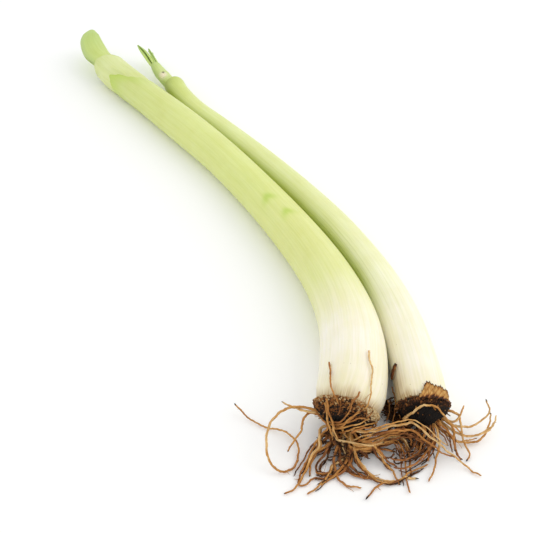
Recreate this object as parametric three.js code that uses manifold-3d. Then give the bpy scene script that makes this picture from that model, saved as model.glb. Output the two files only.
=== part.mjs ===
import * as THREE from 'three';
import Module from 'manifold-3d';
import { mergeVertices } from 'three/addons/utils/BufferGeometryUtils.js';

// Two trimmed leeks lying side by side on a table, roots towards -Y and cut tops towards +Y.
// All lengths are millimetres, and the table is the plane z = 0.

const manifold = await Module();
manifold.setup();

// Middle of the pair's footprint, measured from the front leek's root end
const FOOTPRINT_MIDDLE = new THREE.Vector3(18.9, 233.4, 0);

// Each stem is a soft round stalk pressed a little flat where it lies
const PRESSED_FLAT = 0.8;
const STEM_SIDES = 24;
const STEM_RINGS = 19;
const RIM_RINGS = 4;
const SHEATH_WALL = 1.0;
const FIT_GAP = 0.35;

// Roots and plates stand this far clear of the table, and only the stems rest on it
const TABLE_CLEARANCE = 0.05;

// Points closer than the weld are one point, and edges shorter than the sliver are closed up after a join
const WELD = 1e-5;
const SLIVER = 0.05;

// Middle line of the front leek: x, y and radius, from its root end to the end of its second sheath
const FRONT_LINE = [
  [2.3, 0.9, 17.3], [9, 9, 17.7], [22, 31, 17.8], [33.5, 60, 16.7], [41, 102, 15.3], [41.5, 164, 14.2],
  [34, 250, 13.6], [21.5, 319, 14.0], [7.4, 388, 13.4], [-0.5, 421, 13.9], [-3.4, 441, 13.6],
  [-4.8, 458, 12.2],
];
const FRONT_RIM = 0.88;
const FRONT_RIM_LENGTH = 11;

// Middle line of the thinner leek that lies against it
const BACK_LINE = [
  [40.6, -8.6, 13.2], [49.3, 12.3, 13.1], [61.3, 49.1, 12.7], [68.2, 89.3, 12.4], [70.0, 136, 12.0],
  [66.9, 184.4, 11.4], [60.2, 239.2, 10.7], [50.1, 302.2, 9.8], [42.0, 345, 9.3], [39.6, 379, 9.2],
  [41.2, 400.5, 9.0],
];
const BACK_RIM = 0.95;
const BACK_RIM_LENGTH = 8;

// Both root ends look down a little: the rim's top reaches past its underside
const ROOT_END_TILT = THREE.MathUtils.degToRad(20);

// The front leek's outer sheath ends obliquely: its reach along the stem, by angle round the stem
const MOUTH_REACH = [
  [0, 387], [40, 391], [90, 406], [128, 426], [170, 426], [215, 420], [270, 398], [320, 388],
];
const MOUTH_DEPTH = 10;
const FOOT_GAP = 1.1;
const FLARE_START = 2;
const FLARE_LENGTH = 16;
const FLARE_RINGS = 8;

// The second sheath's end, by angle round the stem
const SECOND_REACH = [
  [0, 450], [60, 452], [110, 460], [150, 466], [190, 460], [250, 453], [310, 450],
];

// Centre line and half sizes of the folded young leaf in the second sheath: x, y, z, half width, half height
const INNER_LEAF = [
  [-3.2, 434, 13.2, 8.6, 5.2], [-6.1, 452, 15.4, 10.1, 5.4], [-9.4, 467, 17, 11.2, 5.2],
  [-9.6, 480, 18.3, 11, 4.6], [-8.5, 494, 19.5, 10, 3.8], [-5.7, 507, 20.4, 7.6, 2.8],
  [-2.6, 516, 21, 3, 1.4],
];

const INNER_LEAF_SIDES = 16;

// The back leek's bare neck and the two thin leaves left on it
const BACK_NECK = [
  [38.6, 393, 9, 5.4, 5.4], [37.6, 403.5, 9.2, 5.9, 5.9], [36.6, 419.4, 9.8, 6.1, 5.9],
  [36.2, 430, 10.2, 5.4, 5.2], [36.2, 439, 10.4, 4.4, 4.0], [36.4, 443, 10.6, 2.6, 2.4],
];
const BACK_LEAF_ONE = [
  [34.5, 434, 10.3, 1.5, 1.2], [34.0, 443, 10.8, 2.1, 1.4], [33.9, 456, 12, 2.7, 1.5],
  [33.5, 467, 13, 2.6, 1.3], [33, 475, 13.6, 1.9, 0.9], [32.3, 482, 14, 0.6, 0.5],
];
const BACK_LEAF_TWO = [
  [38.3, 434, 10.2, 1.5, 1.2], [38.7, 443, 10.4, 1.9, 1.3], [38.8, 452, 11.7, 1.8, 1.2],
  [39, 461, 13, 1.4, 0.9], [39.2, 470, 14, 0.6, 0.5],
];
const NECK_SIDES = 14;
const LEAF_SIDES = 10;

// The back leek's sheath closes in to a rounded collar: its length, and how much of its area closes
const COLLAR_LENGTH = 5;
const COLLAR_CLOSING = 0.45;
const COLLAR_RINGS = 3;

// Root plates: the low dark cone at each root end, by distance out from the stem and share of the rim
const PLATE_OUTLINE = [
  [0, 0.97], [0.8, 1.05], [2.4, 1.02], [4.5, 0.9], [7, 0.68], [9.5, 0.38], [10.8, 0.14],
];
const PLATE_SIDES = 16;

// Roots: stout at the plate and thin at the tip
const STRAND_RADIUS = 0.7;
const CLINGING_RADIUS = 0.5;
const ROOT_TIP_SHARE = 0.55;
const ROOT_SIDES = 4;
const NEARLY_UPRIGHT = 0.9;

// Middle lines of the front leek's roots, from inside its plate to the tip
const FRONT_STRANDS = [
  // The long loop on the left, and the short and the hanging one beside it
  [[-6, 1, 15], [-16, 9, 17], [-24, 11, 18], [-31, 10, 17.5], [-37, 6, 14.5], [-41, 0, 9.5],
    [-41, -6, 4.5], [-38, -11, 1.8], [-33, -11, 1.1], [-28, -8, 1.2], [-25, -3, 2], [-24, 3, 3],
    [-26, 9, 3], [-30, 14, 2], [-35, 19, 1.2], [-39, 25, 2], [-42, 30, 4], [-44, 34, 7]],
  [[-5, 1, 15], [-18, 9, 16], [-21, 11, 17], [-26, 16, 18.3]],
  [[-6, 1, 13], [-15, 7, 14.5], [-20, 4, 13], [-22, 1, 11], [-28, -1, 6], [-31, -3, 4]],
  // The two that cross in front of the back leek, and the pale one across the plate
  [[-3, -6, 13], [5, -14, 14], [13, -16, 15], [22, -18, 16], [28, -20, 16], [34, -30, 12], [39, -34, 7],
    [46, -44, 1.2], [49, -50, 1.1]],
  [[-1, -6, 11], [8, -15, 12], [19, -19, 14], [26, -22, 14], [31, -29, 11], [36, -34, 7], [42, -38, 4]],
  [[-5, -2, 12], [-9, -8, 10], [-3, -13, 9.5], [6, -18, 8], [13, -19, 8.5]],
  // The bundle that spreads to the left
  [[-5, -2, 11], [-11, 0, 10], [-14.5, -4, 8.5], [-16.5, -7.5, 6.5], [-21.5, -10.5, 5], [-25, -13.5, 3.5],
    [-29, -17, 2], [-34, -21, 1.2], [-38, -22, 1], [-41.5, -22.5, 1]],
  [[-6, -1, 10], [-14, -3, 6.5], [-18, -5.5, 5.2], [-23, -10, 3.6], [-27, -13, 2.6], [-30.5, -16.5, 1.6],
    [-33, -20, 1.2]],
  [[-3, -4, 9], [-9.5, -6.5, 6], [-13.5, -8, 5], [-16.5, -8.5, 4.4], [-20, -9.5, 3.8], [-24, -12.5, 3],
    [-26.5, -15, 2], [-30, -17.5, 1.2], [-32.5, -20, 1]],
  [[-1, -4, 9], [-5.5, -12, 6], [-6, -15.5, 4], [-8.5, -17, 3], [-13, -17.5, 2.2], [-17, -20.5, 1.6],
    [-21, -23.5, 1.2], [-26.5, -25.5, 1], [-31.5, -26.5, 1]],
  [[0, -5, 8], [-4.5, -15.5, 4.8], [-8.5, -19.5, 3], [-12.5, -21.5, 2], [-16.5, -23, 1.4], [-20.5, -24, 1],
    [-23.5, -25, 1]],
  [[1, -5, 7], [-3.5, -18, 3.4], [-8.5, -21.5, 2], [-13.5, -22.5, 1.4], [-17.5, -22, 1], [-21, -21.5, 1],
    [-24, -20, 1], [-28, -21, 1], [-31, -21.5, 1], [-33.5, -20.5, 1]],
  [[-5, -1, 9], [-13.5, -5.5, 5.5], [-18.5, -9, 4], [-23, -12.5, 2.6], [-24.5, -15.5, 1.6],
    [-26.5, -18, 1]],
  [[-3, -3, 10], [-12.5, -9, 5], [-16.5, -12, 3], [-21, -14.5, 1.8], [-22, -18, 1.2], [-19.5, -19.5, 1],
    [-16, -19.5, 1.2], [-13, -17, 1.8]],
  // Those that run forwards and to the right along the table
  [[1, -5, 10], [-1, -15, 6.5], [-2, -19.5, 5], [-1.5, -23.5, 4], [-0.5, -26.5, 3], [1, -29.5, 2],
    [3.5, -33, 1.2], [7.5, -35.5, 1], [11.5, -36.5, 1], [15.5, -36, 1.4], [20, -35, 1.6],
    [24.5, -34.5, 1.4], [29.5, -34.5, 1.2]],
  [[-1, -4, 7], [-9.5, -17, 3], [-8.5, -21.5, 2], [-7, -25.5, 1.4], [-3.5, -28.5, 1], [-1, -30, 1],
    [1, -32, 1]],
  [[1, -5, 7], [-5.5, -18.5, 3.6], [-5.5, -23, 2.2], [-3.5, -26.5, 1.4], [-1, -29.5, 1], [2, -31, 1]],
  [[-1, -4, 9.5], [-12, -15.5, 3.4], [-14, -21, 1.8], [-14, -26, 1], [-12.5, -29.5, 1], [-10, -31.5, 1],
    [-6.5, -33.5, 1]],
  [[5, -6, 9], [8, -18.5, 7.5], [9, -23, 5], [9.5, -26, 3.4], [11, -29, 2], [11.5, -32, 1.2], [11, -36, 1],
    [11, -39, 1]],
  [[5, -6, 8], [8.5, -20, 7], [10, -23, 5], [11.5, -26, 3.4], [13.5, -29, 2.2], [14.5, -30.5, 1.6]],
  // The sheaf that reaches across to the back leek
  [[1, -6, 11], [-1.5, -13.5, 8.6], [2.5, -16, 8], [6.5, -17, 8], [11, -17, 8], [16, -17, 8],
    [20.5, -18, 7.5], [23.5, -19, 6.5], [24.5, -22, 5], [24, -25, 3.4]],
  [[1, -5, 10], [-3, -14, 7], [1, -17, 6.5], [5.5, -18, 7], [11, -18, 7], [16, -18.5, 7], [20, -19, 6.2],
    [21, -22, 5.2], [20.5, -25.5, 4], [19, -30, 3], [17, -34, 2], [14.5, -39.5, 1], [13, -45, 1]],
  [[2, -5, 9], [0.5, -16.5, 5.6], [5, -18, 5], [10, -19, 4.6], [13.5, -20.5, 4.2], [16, -23, 4]],
  [[2, -6, 11], [2.5, -14, 8.8], [7, -16, 9.2], [12, -16.5, 9.6], [17, -16.5, 10], [21.5, -17.5, 10],
    [25, -17.5, 9.4], [26, -20, 8], [26, -23, 6.6], [25.5, -24.5, 6]],
  // Two side roots of the first one that runs forwards
  [[11.5, -36.5, 1], [8.5, -37, 1], [5, -35.5, 1], [1, -35.5, 1], [-3, -37, 1], [-8, -40.5, 1]],
  [[14.5, -36, 1.4], [17.5, -38, 1], [21, -39.5, 1]],
];

// Dried roots that lie back along the front stem: distance along it, angle round it, height above it
const FRONT_CLINGING = [
  [[16, 131, 0.95], [3.5, 121, 1], [-4.5, 113, 0.9], [-8, 104, -2], [-9, 100, -7]],
  [[23.5, 69, 0.95], [18.5, 67, 1], [12.5, 61, 1], [6, 57, 1], [-1, 53, 0.9], [-6.5, 49, -1], [-8, 50, -6]],
  [[-3, 71, 1.4], [-8, 75, 0], [-9.5, 80, -7]],
];

// Middle lines of the back leek's roots
const BACK_STRANDS = [
  // The arch over the plate
  [[33, -8, 10], [27, -13.5, 13], [29.5, -15, 18], [32.5, -16, 21], [36, -17, 22.8], [40, -18.5, 21.8],
    [43, -20, 18], [47, -23, 12], [52, -28, 6]],
  // The fan that curls up on the right
  [[43, -12, 9], [49, -24, 6], [56, -30, 4.6], [65, -31, 6], [69, -30, 8], [72, -27, 10]],
  [[45, -12, 10], [51, -23, 7.4], [56, -25, 6.4], [62, -26, 7], [70, -24, 11], [70.5, -19, 14]],
  [[41, -13, 8], [48, -28, 3.6], [53, -31, 2.6], [61, -32, 2.4], [69, -27, 6.5], [71, -24, 9]],
  [[46, -13.5, 11.5], [52, -18, 12], [54, -21, 11], [53, -25, 8], [51, -31, 4.5], [51, -37, 1.8],
    [47, -40, 1]],
  [[43, -13, 8], [50, -22, 10], [55, -21, 12], [59, -17, 13]],
  // Those that run down to the front
  [[41, -14, 9], [40.5, -22.5, 9], [39.5, -26.5, 7], [37, -30.5, 5], [33, -35, 3.4], [29, -39, 2],
    [24.5, -43, 1]],
  [[43, -13, 10], [43, -22, 11], [44.5, -25.5, 9.6], [45, -29, 8], [44.5, -32.5, 6.4], [43.5, -35.5, 5.2]],
  [[44, -12, 10], [47.5, -23, 10], [48, -26.5, 8], [46, -30, 6], [45, -33, 4], [45, -36, 2.4],
    [46, -38.5, 1]],
  // Those that sweep round to the left under the front leek
  [[38, -13, 10], [40, -19, 9.5], [39, -22, 8], [37, -25, 7], [34, -28, 5.8], [29, -31, 4.8],
    [24.5, -32.5, 4.2], [18.5, -33.5, 3.8], [14.5, -33, 3.6], [12, -30, 3.4]],
  [[37, -13, 9], [37.5, -19.5, 9], [36.5, -23, 7.6], [33.5, -26, 6], [29, -28.5, 4.8], [24, -29.5, 4.8],
    [19.5, -30.5, 5.6], [15, -29, 5.4], [12.5, -26, 4.6]],
  [[35, -12, 8], [35.5, -17.5, 9], [35, -20.5, 8], [32, -23.5, 6.6], [30, -26, 5.4], [26.5, -28.5, 4.4],
    [23, -28.5, 4]],
  [[39, -13, 8], [38.5, -19, 8.6], [38, -21.5, 7.4], [35.5, -24.5, 5.6], [32.5, -28.5, 4.4],
    [31, -31.5, 3.6], [29, -34, 3.4]],
  [[36, -12, 8], [32.5, -19, 8], [28.5, -23, 7.4], [24.5, -26.5, 6.8], [21.5, -27.5, 6.6], [18, -28, 6.4]],
];

// A torn scrap of papery skin on top of the back rim: its span round the stem and its reach along it
const SCRAP_FROM = THREE.MathUtils.degToRad(36);
const SCRAP_TO = THREE.MathUtils.degToRad(106);
const SCRAP_STEPS = 8;
const SCRAP_THICKNESS = 0.7;
const SCRAP_REACH = 6;
const SCRAP_LEAST_SHARE = 0.45;
const SCRAP_TEAR_TURN = 2.3;
const SCRAP_GAP = 0.5;
const SCRAP_FOOT = 2.2;
const SCRAP_ROOT = 1.2;

function smoothStep(share) {
  const t = THREE.MathUtils.clamp(share, 0, 1);
  return t * t * (3 - 2 * t);
}

// A value that goes smoothly round the stem through a few angles in degrees
function roundTheStem(stops, angle) {
  const degrees = THREE.MathUtils.euclideanModulo(THREE.MathUtils.radToDeg(angle), 360);
  for (let k = 0; k < stops.length; k += 1) {
    const [from, low] = stops[k];
    const [to, high] = k + 1 < stops.length ? stops[k + 1] : [360, stops[0][1]];
    if (degrees >= from && degrees <= to) {
      return low + (high - low) * smoothStep((degrees - from) / (to - from));
    }
  }
  return stops[0][1];
}

// A stem's middle line, its radius and the directions across it, by the distance from the root end
function stemFrom(line, rim, rimLength) {
  const middles = line.map(([x, y, radius]) => new THREE.Vector3(x, y, radius - PRESSED_FLAT));
  const curve = new THREE.CatmullRomCurve3(middles);
  const length = curve.getLength();
  const at = (distance) => {
    const share = THREE.MathUtils.clamp(distance / length, 0, 1);
    const centre = curve.getPointAt(share);
    const along = curve.getTangentAt(share);
    const side = new THREE.Vector3(along.y, -along.x, 0).normalize();
    const up = new THREE.Vector3().crossVectors(side, along);
    centre.addScaledVector(along, Math.min(distance, 0));
    return { centre, along, side, up, radius: centre.z + PRESSED_FLAT };
  };
  const foot = at(0);
  const out = foot.along.clone().multiplyScalar(-Math.cos(ROOT_END_TILT));
  out.addScaledVector(foot.up, -Math.sin(ROOT_END_TILT));
  const high = foot.up.clone().multiplyScalar(Math.cos(ROOT_END_TILT));
  high.addScaledVector(foot.along, -Math.sin(ROOT_END_TILT));
  const rimRadius = foot.radius * rim;
  const plate = { centre: foot.centre, out, up: high, side: new THREE.Vector3().crossVectors(out, high) };
  const rimAt = (angle) => -rimRadius * Math.sin(angle) * Math.tan(ROOT_END_TILT);
  const rounded = (distance, angle, radius) => {
    const short = 1 - THREE.MathUtils.clamp((distance - rimAt(angle)) / rimLength, 0, 1);
    return radius * (1 - (1 - rim) * short * short);
  };
  return { length, at, plate, rimRadius, rimAt, rimLength, rounded };
}

function pointRound({ centre, side, up }, across, high, angle) {
  const point = centre.clone().addScaledVector(side, across * Math.cos(angle));
  return point.addScaledVector(up, high * Math.sin(angle));
}

function pressedOnTable(point) {
  point.z = Math.max(point.z, 0);
  return point;
}

function raised(point) {
  point.z = Math.max(point.z, TABLE_CLEARANCE);
  return point;
}

// A closed body skinned over rings of equal count, with a fan of faces over each end
function skin(rings) {
  const sides = rings[0].length;
  const points = rings.flat();
  const faces = [];
  const middle = (ring) => ring.reduce((sum, p) => sum.add(p), new THREE.Vector3()).divideScalar(sides);
  for (let ring = 0; ring < rings.length - 1; ring += 1) {
    for (let k = 0; k < sides; k += 1) {
      const a = ring * sides + k;
      const b = ring * sides + (k + 1) % sides;
      faces.push(a, b + sides, b, a, a + sides, b + sides);
    }
  }
  const start = points.length;
  points.push(middle(rings[0]), middle(rings[rings.length - 1]));
  const last = (rings.length - 1) * sides;
  for (let k = 0; k < sides; k += 1) {
    const next = (k + 1) % sides;
    faces.push(start, k, next, start + 1, last + next, last + k);
  }
  const geometry = new THREE.BufferGeometry().setFromPoints(points);
  geometry.setIndex(faces);
  return geometry;
}

function solid(geometry) {
  const merged = mergeVertices(geometry, WELD);
  return new manifold.Manifold(new manifold.Mesh({
    numProp: 3,
    vertProperties: new Float32Array(merged.attributes.position.array),
    triVerts: new Uint32Array(merged.index.array),
  }));
}

function geometryOf(body) {
  const mesh = body.setTolerance(SLIVER).getMesh();
  const geometry = new THREE.BufferGeometry();
  geometry.setAttribute('position', new THREE.BufferAttribute(new Float32Array(mesh.vertProperties), 3));
  geometry.setIndex(new THREE.BufferAttribute(new Uint32Array(mesh.triVerts), 1));
  return geometry;
}

const angles = (count) => Array.from({ length: count }, (_, k) => (2 * Math.PI * k) / count);
const mouthReach = (angle) => roundTheStem(MOUTH_REACH, angle);
const secondReach = (angle) => roundTheStem(SECOND_REACH, angle);

// Rings of a stem's skin from one end to the other; an end may lie further along at some angles than others
function stemRings(stem, from, to, steps, radiusAt) {
  const rings = [];
  for (let step = 0; step <= steps; step += 1) {
    rings.push(angles(STEM_SIDES).map((angle) => {
      const distance = THREE.MathUtils.lerp(from(angle), to(angle), step / steps);
      const place = stem.at(distance);
      const radius = radiusAt(distance, angle, place.radius);
      return pressedOnTable(pointRound(place, radius, radius, angle));
    }));
  }
  return rings;
}

// The front leek's outer sheath: a long stalk with a shallow cup in its oblique end
function frontShaft(stem) {
  const roundedEnd = (angle) => stem.rimAt(angle) + stem.rimLength;
  const inside = (distance, angle, radius) => radius - SHEATH_WALL;
  const base = stemRings(stem, stem.rimAt, roundedEnd, RIM_RINGS, stem.rounded);
  const length = stemRings(stem, roundedEnd, mouthReach, STEM_RINGS, stem.rounded);
  const cup = stemRings(stem, mouthReach, (angle) => mouthReach(angle) - MOUTH_DEPTH, 1, inside);
  return skin([...base, ...length.slice(1), ...cup]);
}

// The second sheath stands in that cup and flares out past it
function secondSheath(stem) {
  const foot = (angle) => mouthReach(angle) - MOUTH_DEPTH + FOOT_GAP;
  const flareStart = (angle) => mouthReach(angle) + FLARE_START;
  const radiusAt = (distance, angle, radius) => {
    const free = smoothStep((distance - flareStart(angle)) / FLARE_LENGTH);
    return radius - (SHEATH_WALL + FIT_GAP) * (1 - free);
  };
  const inCup = stemRings(stem, foot, flareStart, 1, radiusAt);
  const flared = stemRings(stem, flareStart, secondReach, FLARE_RINGS, radiusAt);
  return skin([...inCup, ...flared.slice(1)]);
}

// A leaf, a folded blade or a neck: an oval section carried along a line, grown by a clearance for a cut
function blade(stations, sides, grown) {
  const line = (point) => new THREE.CatmullRomCurve3(stations.map(point));
  const curve = line(([x, y, z]) => new THREE.Vector3(x, y, z));
  const sizes = line(([, , , wide, high]) => new THREE.Vector3(wide, high, 0));
  const steps = stations.length * 2;
  const rings = [];
  for (let step = 0; step <= steps; step += 1) {
    const along = curve.getTangent(step / steps);
    const side = new THREE.Vector3(along.y, -along.x, 0).normalize();
    const up = new THREE.Vector3().crossVectors(side, along);
    const size = sizes.getPoint(step / steps);
    const place = { centre: curve.getPoint(step / steps), side, up };
    rings.push(angles(sides).map((angle) => pointRound(place, size.x + grown, size.y + grown, angle)));
  }
  return skin(rings);
}

const front = stemFrom(FRONT_LINE, FRONT_RIM, FRONT_RIM_LENGTH);
const back = stemFrom(BACK_LINE, BACK_RIM, BACK_RIM_LENGTH);

// The back leek's sheath closes in to a rounded collar round the neck
function backShaft(stem) {
  const roundedEnd = (angle) => stem.rimAt(angle) + stem.rimLength;
  const shoulder = () => stem.length - COLLAR_LENGTH;
  const closing = (distance, angle, radius) => {
    const past = (distance - shoulder()) / COLLAR_LENGTH;
    return radius * Math.sqrt(1 - COLLAR_CLOSING * past * past);
  };
  const base = stemRings(stem, stem.rimAt, roundedEnd, RIM_RINGS, stem.rounded);
  const length = stemRings(stem, roundedEnd, shoulder, STEM_RINGS, stem.rounded);
  const collar = stemRings(stem, shoulder, () => stem.length, COLLAR_RINGS, closing);
  return skin([...base, ...length.slice(1), ...collar.slice(1)]);
}

// The root plate: a low cone in front of the rim
function plateBody({ plate, rimRadius }) {
  return skin(PLATE_OUTLINE.map(([distance, share]) => {
    const centre = plate.centre.clone().addScaledVector(plate.out, distance + FIT_GAP);
    const across = rimRadius * share;
    const place = { ...plate, centre };
    return angles(PLATE_SIDES).map((angle) => raised(pointRound(place, across, across, angle)));
  }));
}

// A root: a tube of few sides carried along a path, with its own directions turned as little as they can be
function rootBody(path, radius) {
  let side = new THREE.Vector3(0, 0, 1);
  const rings = path.map((spot, k) => {
    const before = path[Math.max(k - 1, 0)];
    const after = path[Math.min(k + 1, path.length - 1)];
    const along = after.clone().sub(before).normalize();
    if (k === 0 && Math.abs(along.z) > NEARLY_UPRIGHT) side.set(1, 0, 0);
    side = side.clone().addScaledVector(along, -side.dot(along)).normalize();
    const up = new THREE.Vector3().crossVectors(side, along);
    const size = radius * THREE.MathUtils.lerp(1, ROOT_TIP_SHARE, k / (path.length - 1));
    const place = { centre: spot, side, up };
    return angles(ROOT_SIDES).map((angle) => raised(pointRound(place, size, size, angle)));
  });
  return solid(skin(rings));
}

const neckBody = solid(blade(BACK_NECK, NECK_SIDES, 0));
const backNeck = neckBody
  .subtract(solid(blade(BACK_LEAF_ONE, LEAF_SIDES, FIT_GAP)))
  .subtract(solid(blade(BACK_LEAF_TWO, LEAF_SIDES, FIT_GAP)));
const backStalk = solid(backShaft(back)).subtract(solid(blade(BACK_NECK, NECK_SIDES, FIT_GAP)));
const secondBody = solid(secondSheath(front)).subtract(solid(blade(INNER_LEAF, INNER_LEAF_SIDES, FIT_GAP)));

// A root is carried along a smooth line through its points
const smoothed = (points) => {
  const line = new THREE.CatmullRomCurve3(points.map((point) => new THREE.Vector3(...point)));
  return line.getPoints(points.length * 2 - 2);
};
const rootFrom = (points) => rootBody(smoothed(points), STRAND_RADIUS);
const clingingRoot = (points) => rootBody(smoothed(points.map(([distance, angle, height]) => {
  const place = front.at(distance);
  const reach = place.radius + height;
  return pointRound(place, reach, reach, THREE.MathUtils.degToRad(angle)).toArray();
})), CLINGING_RADIUS);

// The papery scrap, bent over the rim of the back leek
function scrapBody(stem) {
  const rings = [];
  for (let step = 0; step <= SCRAP_STEPS; step += 1) {
    const angle = THREE.MathUtils.lerp(SCRAP_FROM, SCRAP_TO, step / SCRAP_STEPS);
    const tooth = Math.abs(Math.sin(SCRAP_TEAR_TURN * step));
    const torn = SCRAP_REACH * THREE.MathUtils.lerp(SCRAP_LEAST_SHARE, 1, tooth);
    const corner = (distance, lift) => {
      const place = stem.at(distance);
      const radius = stem.rounded(distance, angle, place.radius) + FIT_GAP + lift;
      return pointRound(place, radius, radius, angle);
    };
    const rim = stem.rimAt(angle);
    rings.push([
      corner(rim - SCRAP_GAP, -SCRAP_ROOT), corner(rim - SCRAP_GAP, 0), corner(rim + torn, 0),
      corner(rim + torn, SCRAP_THICKNESS), corner(rim - SCRAP_FOOT, SCRAP_THICKNESS),
      corner(rim - SCRAP_FOOT, -SCRAP_ROOT),
    ]);
  }
  return solid(skin(rings));
}

const model = new THREE.Group();
function add(name, geometry, colour, roughness) {
  const material = new THREE.MeshStandardMaterial({ color: colour, roughness, metalness: 0 });
  const mesh = new THREE.Mesh(geometry, material);
  mesh.name = name;
  mesh.position.copy(FOOTPRINT_MIDDLE).negate();
  model.add(mesh);
}

add('front_shaft', frontShaft(front), '#e4ecc0', 0.42);
add('front_second_sheath', geometryOf(secondBody), '#cfe09a', 0.45);
add('front_inner_leaf', blade(INNER_LEAF, INNER_LEAF_SIDES, 0), '#bcd67c', 0.45);
const fused = (bodies) => geometryOf(manifold.Manifold.union(bodies));
const frontRoots = [
  solid(plateBody(front)), ...FRONT_STRANDS.map(rootFrom), ...FRONT_CLINGING.map(clingingRoot),
];
const backRoots = [solid(plateBody(back)), scrapBody(back), ...BACK_STRANDS.map(rootFrom)];
add('front_roots', fused(frontRoots), '#8a5a2c', 0.8);
add('back_roots', fused(backRoots), '#96602f', 0.8);
add('back_shaft', geometryOf(backStalk), '#e8efc4', 0.42);
add('back_neck', geometryOf(backNeck), '#bdd478', 0.5);
add('back_leaf_1', blade(BACK_LEAF_ONE, LEAF_SIDES, 0), '#9cc35c', 0.45);
add('back_leaf_2', blade(BACK_LEAF_TWO, LEAF_SIDES, 0), '#a9c96a', 0.45);

export default model;
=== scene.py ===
import math
from types import SimpleNamespace

import bpy
import numpy as np
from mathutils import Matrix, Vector


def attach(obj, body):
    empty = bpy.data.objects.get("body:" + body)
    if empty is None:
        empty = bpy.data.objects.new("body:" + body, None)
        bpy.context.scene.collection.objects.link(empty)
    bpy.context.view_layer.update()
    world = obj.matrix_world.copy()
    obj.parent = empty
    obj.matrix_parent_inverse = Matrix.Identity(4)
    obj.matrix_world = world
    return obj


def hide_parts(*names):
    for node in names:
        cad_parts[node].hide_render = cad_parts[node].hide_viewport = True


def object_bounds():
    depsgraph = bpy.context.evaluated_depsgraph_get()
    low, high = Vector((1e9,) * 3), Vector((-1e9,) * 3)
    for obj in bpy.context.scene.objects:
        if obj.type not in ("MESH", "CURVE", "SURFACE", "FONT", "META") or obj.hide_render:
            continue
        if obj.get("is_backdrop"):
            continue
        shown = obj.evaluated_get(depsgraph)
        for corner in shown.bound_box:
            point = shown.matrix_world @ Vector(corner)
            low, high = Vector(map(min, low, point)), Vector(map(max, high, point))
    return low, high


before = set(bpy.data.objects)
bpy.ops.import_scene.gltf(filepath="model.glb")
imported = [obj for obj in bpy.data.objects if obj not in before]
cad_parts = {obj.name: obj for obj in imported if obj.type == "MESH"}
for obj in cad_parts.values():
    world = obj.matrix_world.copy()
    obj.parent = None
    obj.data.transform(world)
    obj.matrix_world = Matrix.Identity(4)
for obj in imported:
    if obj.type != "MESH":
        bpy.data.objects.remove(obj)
cad_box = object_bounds()

# The table and the light.
# The pair lies on a white table in soft daylight that comes from the right and a little from behind. It
# is seen by someone who stands at the root end and looks down along the leeks.
MM = 0.001
EYE = (-156.9, -462.6, 313.4)
EYE_TILT = math.radians(52)
EYE_TURN = math.radians(-23)
EYE_LENS = 54.03
EYE_SENSOR = 36
NEAREST_SEEN = 0.01
TABLE_SIZE = 6
TABLE_DROP = 0.05
SKY_STRENGTH = 1.0
WINDOW_SIZE = 1.2
WINDOW_DISTANCE = 1.5
WINDOW_POWER = 5
WINDOW_WAY = (1, 0, 0.8)


def colour(code):
    """A colour from its six-digit code."""
    shares = [int(code[k:k + 2], 16) / 255 for k in (0, 2, 4)]
    return (*[s / 12.92 if s <= 0.04045 else ((s + 0.055) / 1.055) ** 2.4 for s in shares], 1.0)


eye = bpy.data.objects.new("eye", bpy.data.cameras.new("eye"))
eye.location = [c * MM for c in EYE]
eye.rotation_euler = (EYE_TILT, 0, EYE_TURN)
eye.data.lens = EYE_LENS
eye.data.sensor_width = EYE_SENSOR
eye.data.clip_start = NEAREST_SEEN
bpy.context.scene.collection.objects.link(eye)
bpy.context.scene.camera = eye
bpy.context.scene.view_settings.view_transform = "Standard"

bpy.ops.mesh.primitive_plane_add(size=TABLE_SIZE, location=(0, 0, -TABLE_DROP * MM))
table = bpy.context.object
table.name = "table"
table_white = bpy.data.materials.new("table_white")
table_white.use_nodes = True
table_shader = table_white.node_tree.nodes["Principled BSDF"]
table_shader.inputs["Base Color"].default_value = colour("fbfbfa")
table_shader.inputs["Roughness"].default_value = 0.7
table_shader.inputs["Specular IOR Level"].default_value = 0.2
table.data.materials.append(table_white)
table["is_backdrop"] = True

sky = bpy.data.worlds.new("sky")
sky.use_nodes = True
sky.node_tree.nodes["Background"].inputs["Color"].default_value = colour("fdfeff")
sky.node_tree.nodes["Background"].inputs["Strength"].default_value = SKY_STRENGTH
bpy.context.scene.world = sky

window = bpy.data.objects.new("window", bpy.data.lights.new("window", "AREA"))
window.data.size = WINDOW_SIZE
window.data.energy = WINDOW_POWER
window.data.color = colour("fffaf0")[:3]
rightwards = Vector((math.cos(EYE_TURN), math.sin(EYE_TURN), 0))
forwards = Vector((-math.sin(EYE_TURN), math.cos(EYE_TURN), 0))
towards_window = WINDOW_WAY[0] * rightwards + WINDOW_WAY[1] * forwards + Vector((0, 0, WINDOW_WAY[2]))
towards_window.normalize()
window.location = towards_window * WINDOW_DISTANCE
window.rotation_euler = towards_window.to_track_quat("Z", "Y").to_euler()
bpy.context.scene.collection.objects.link(window)

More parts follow.
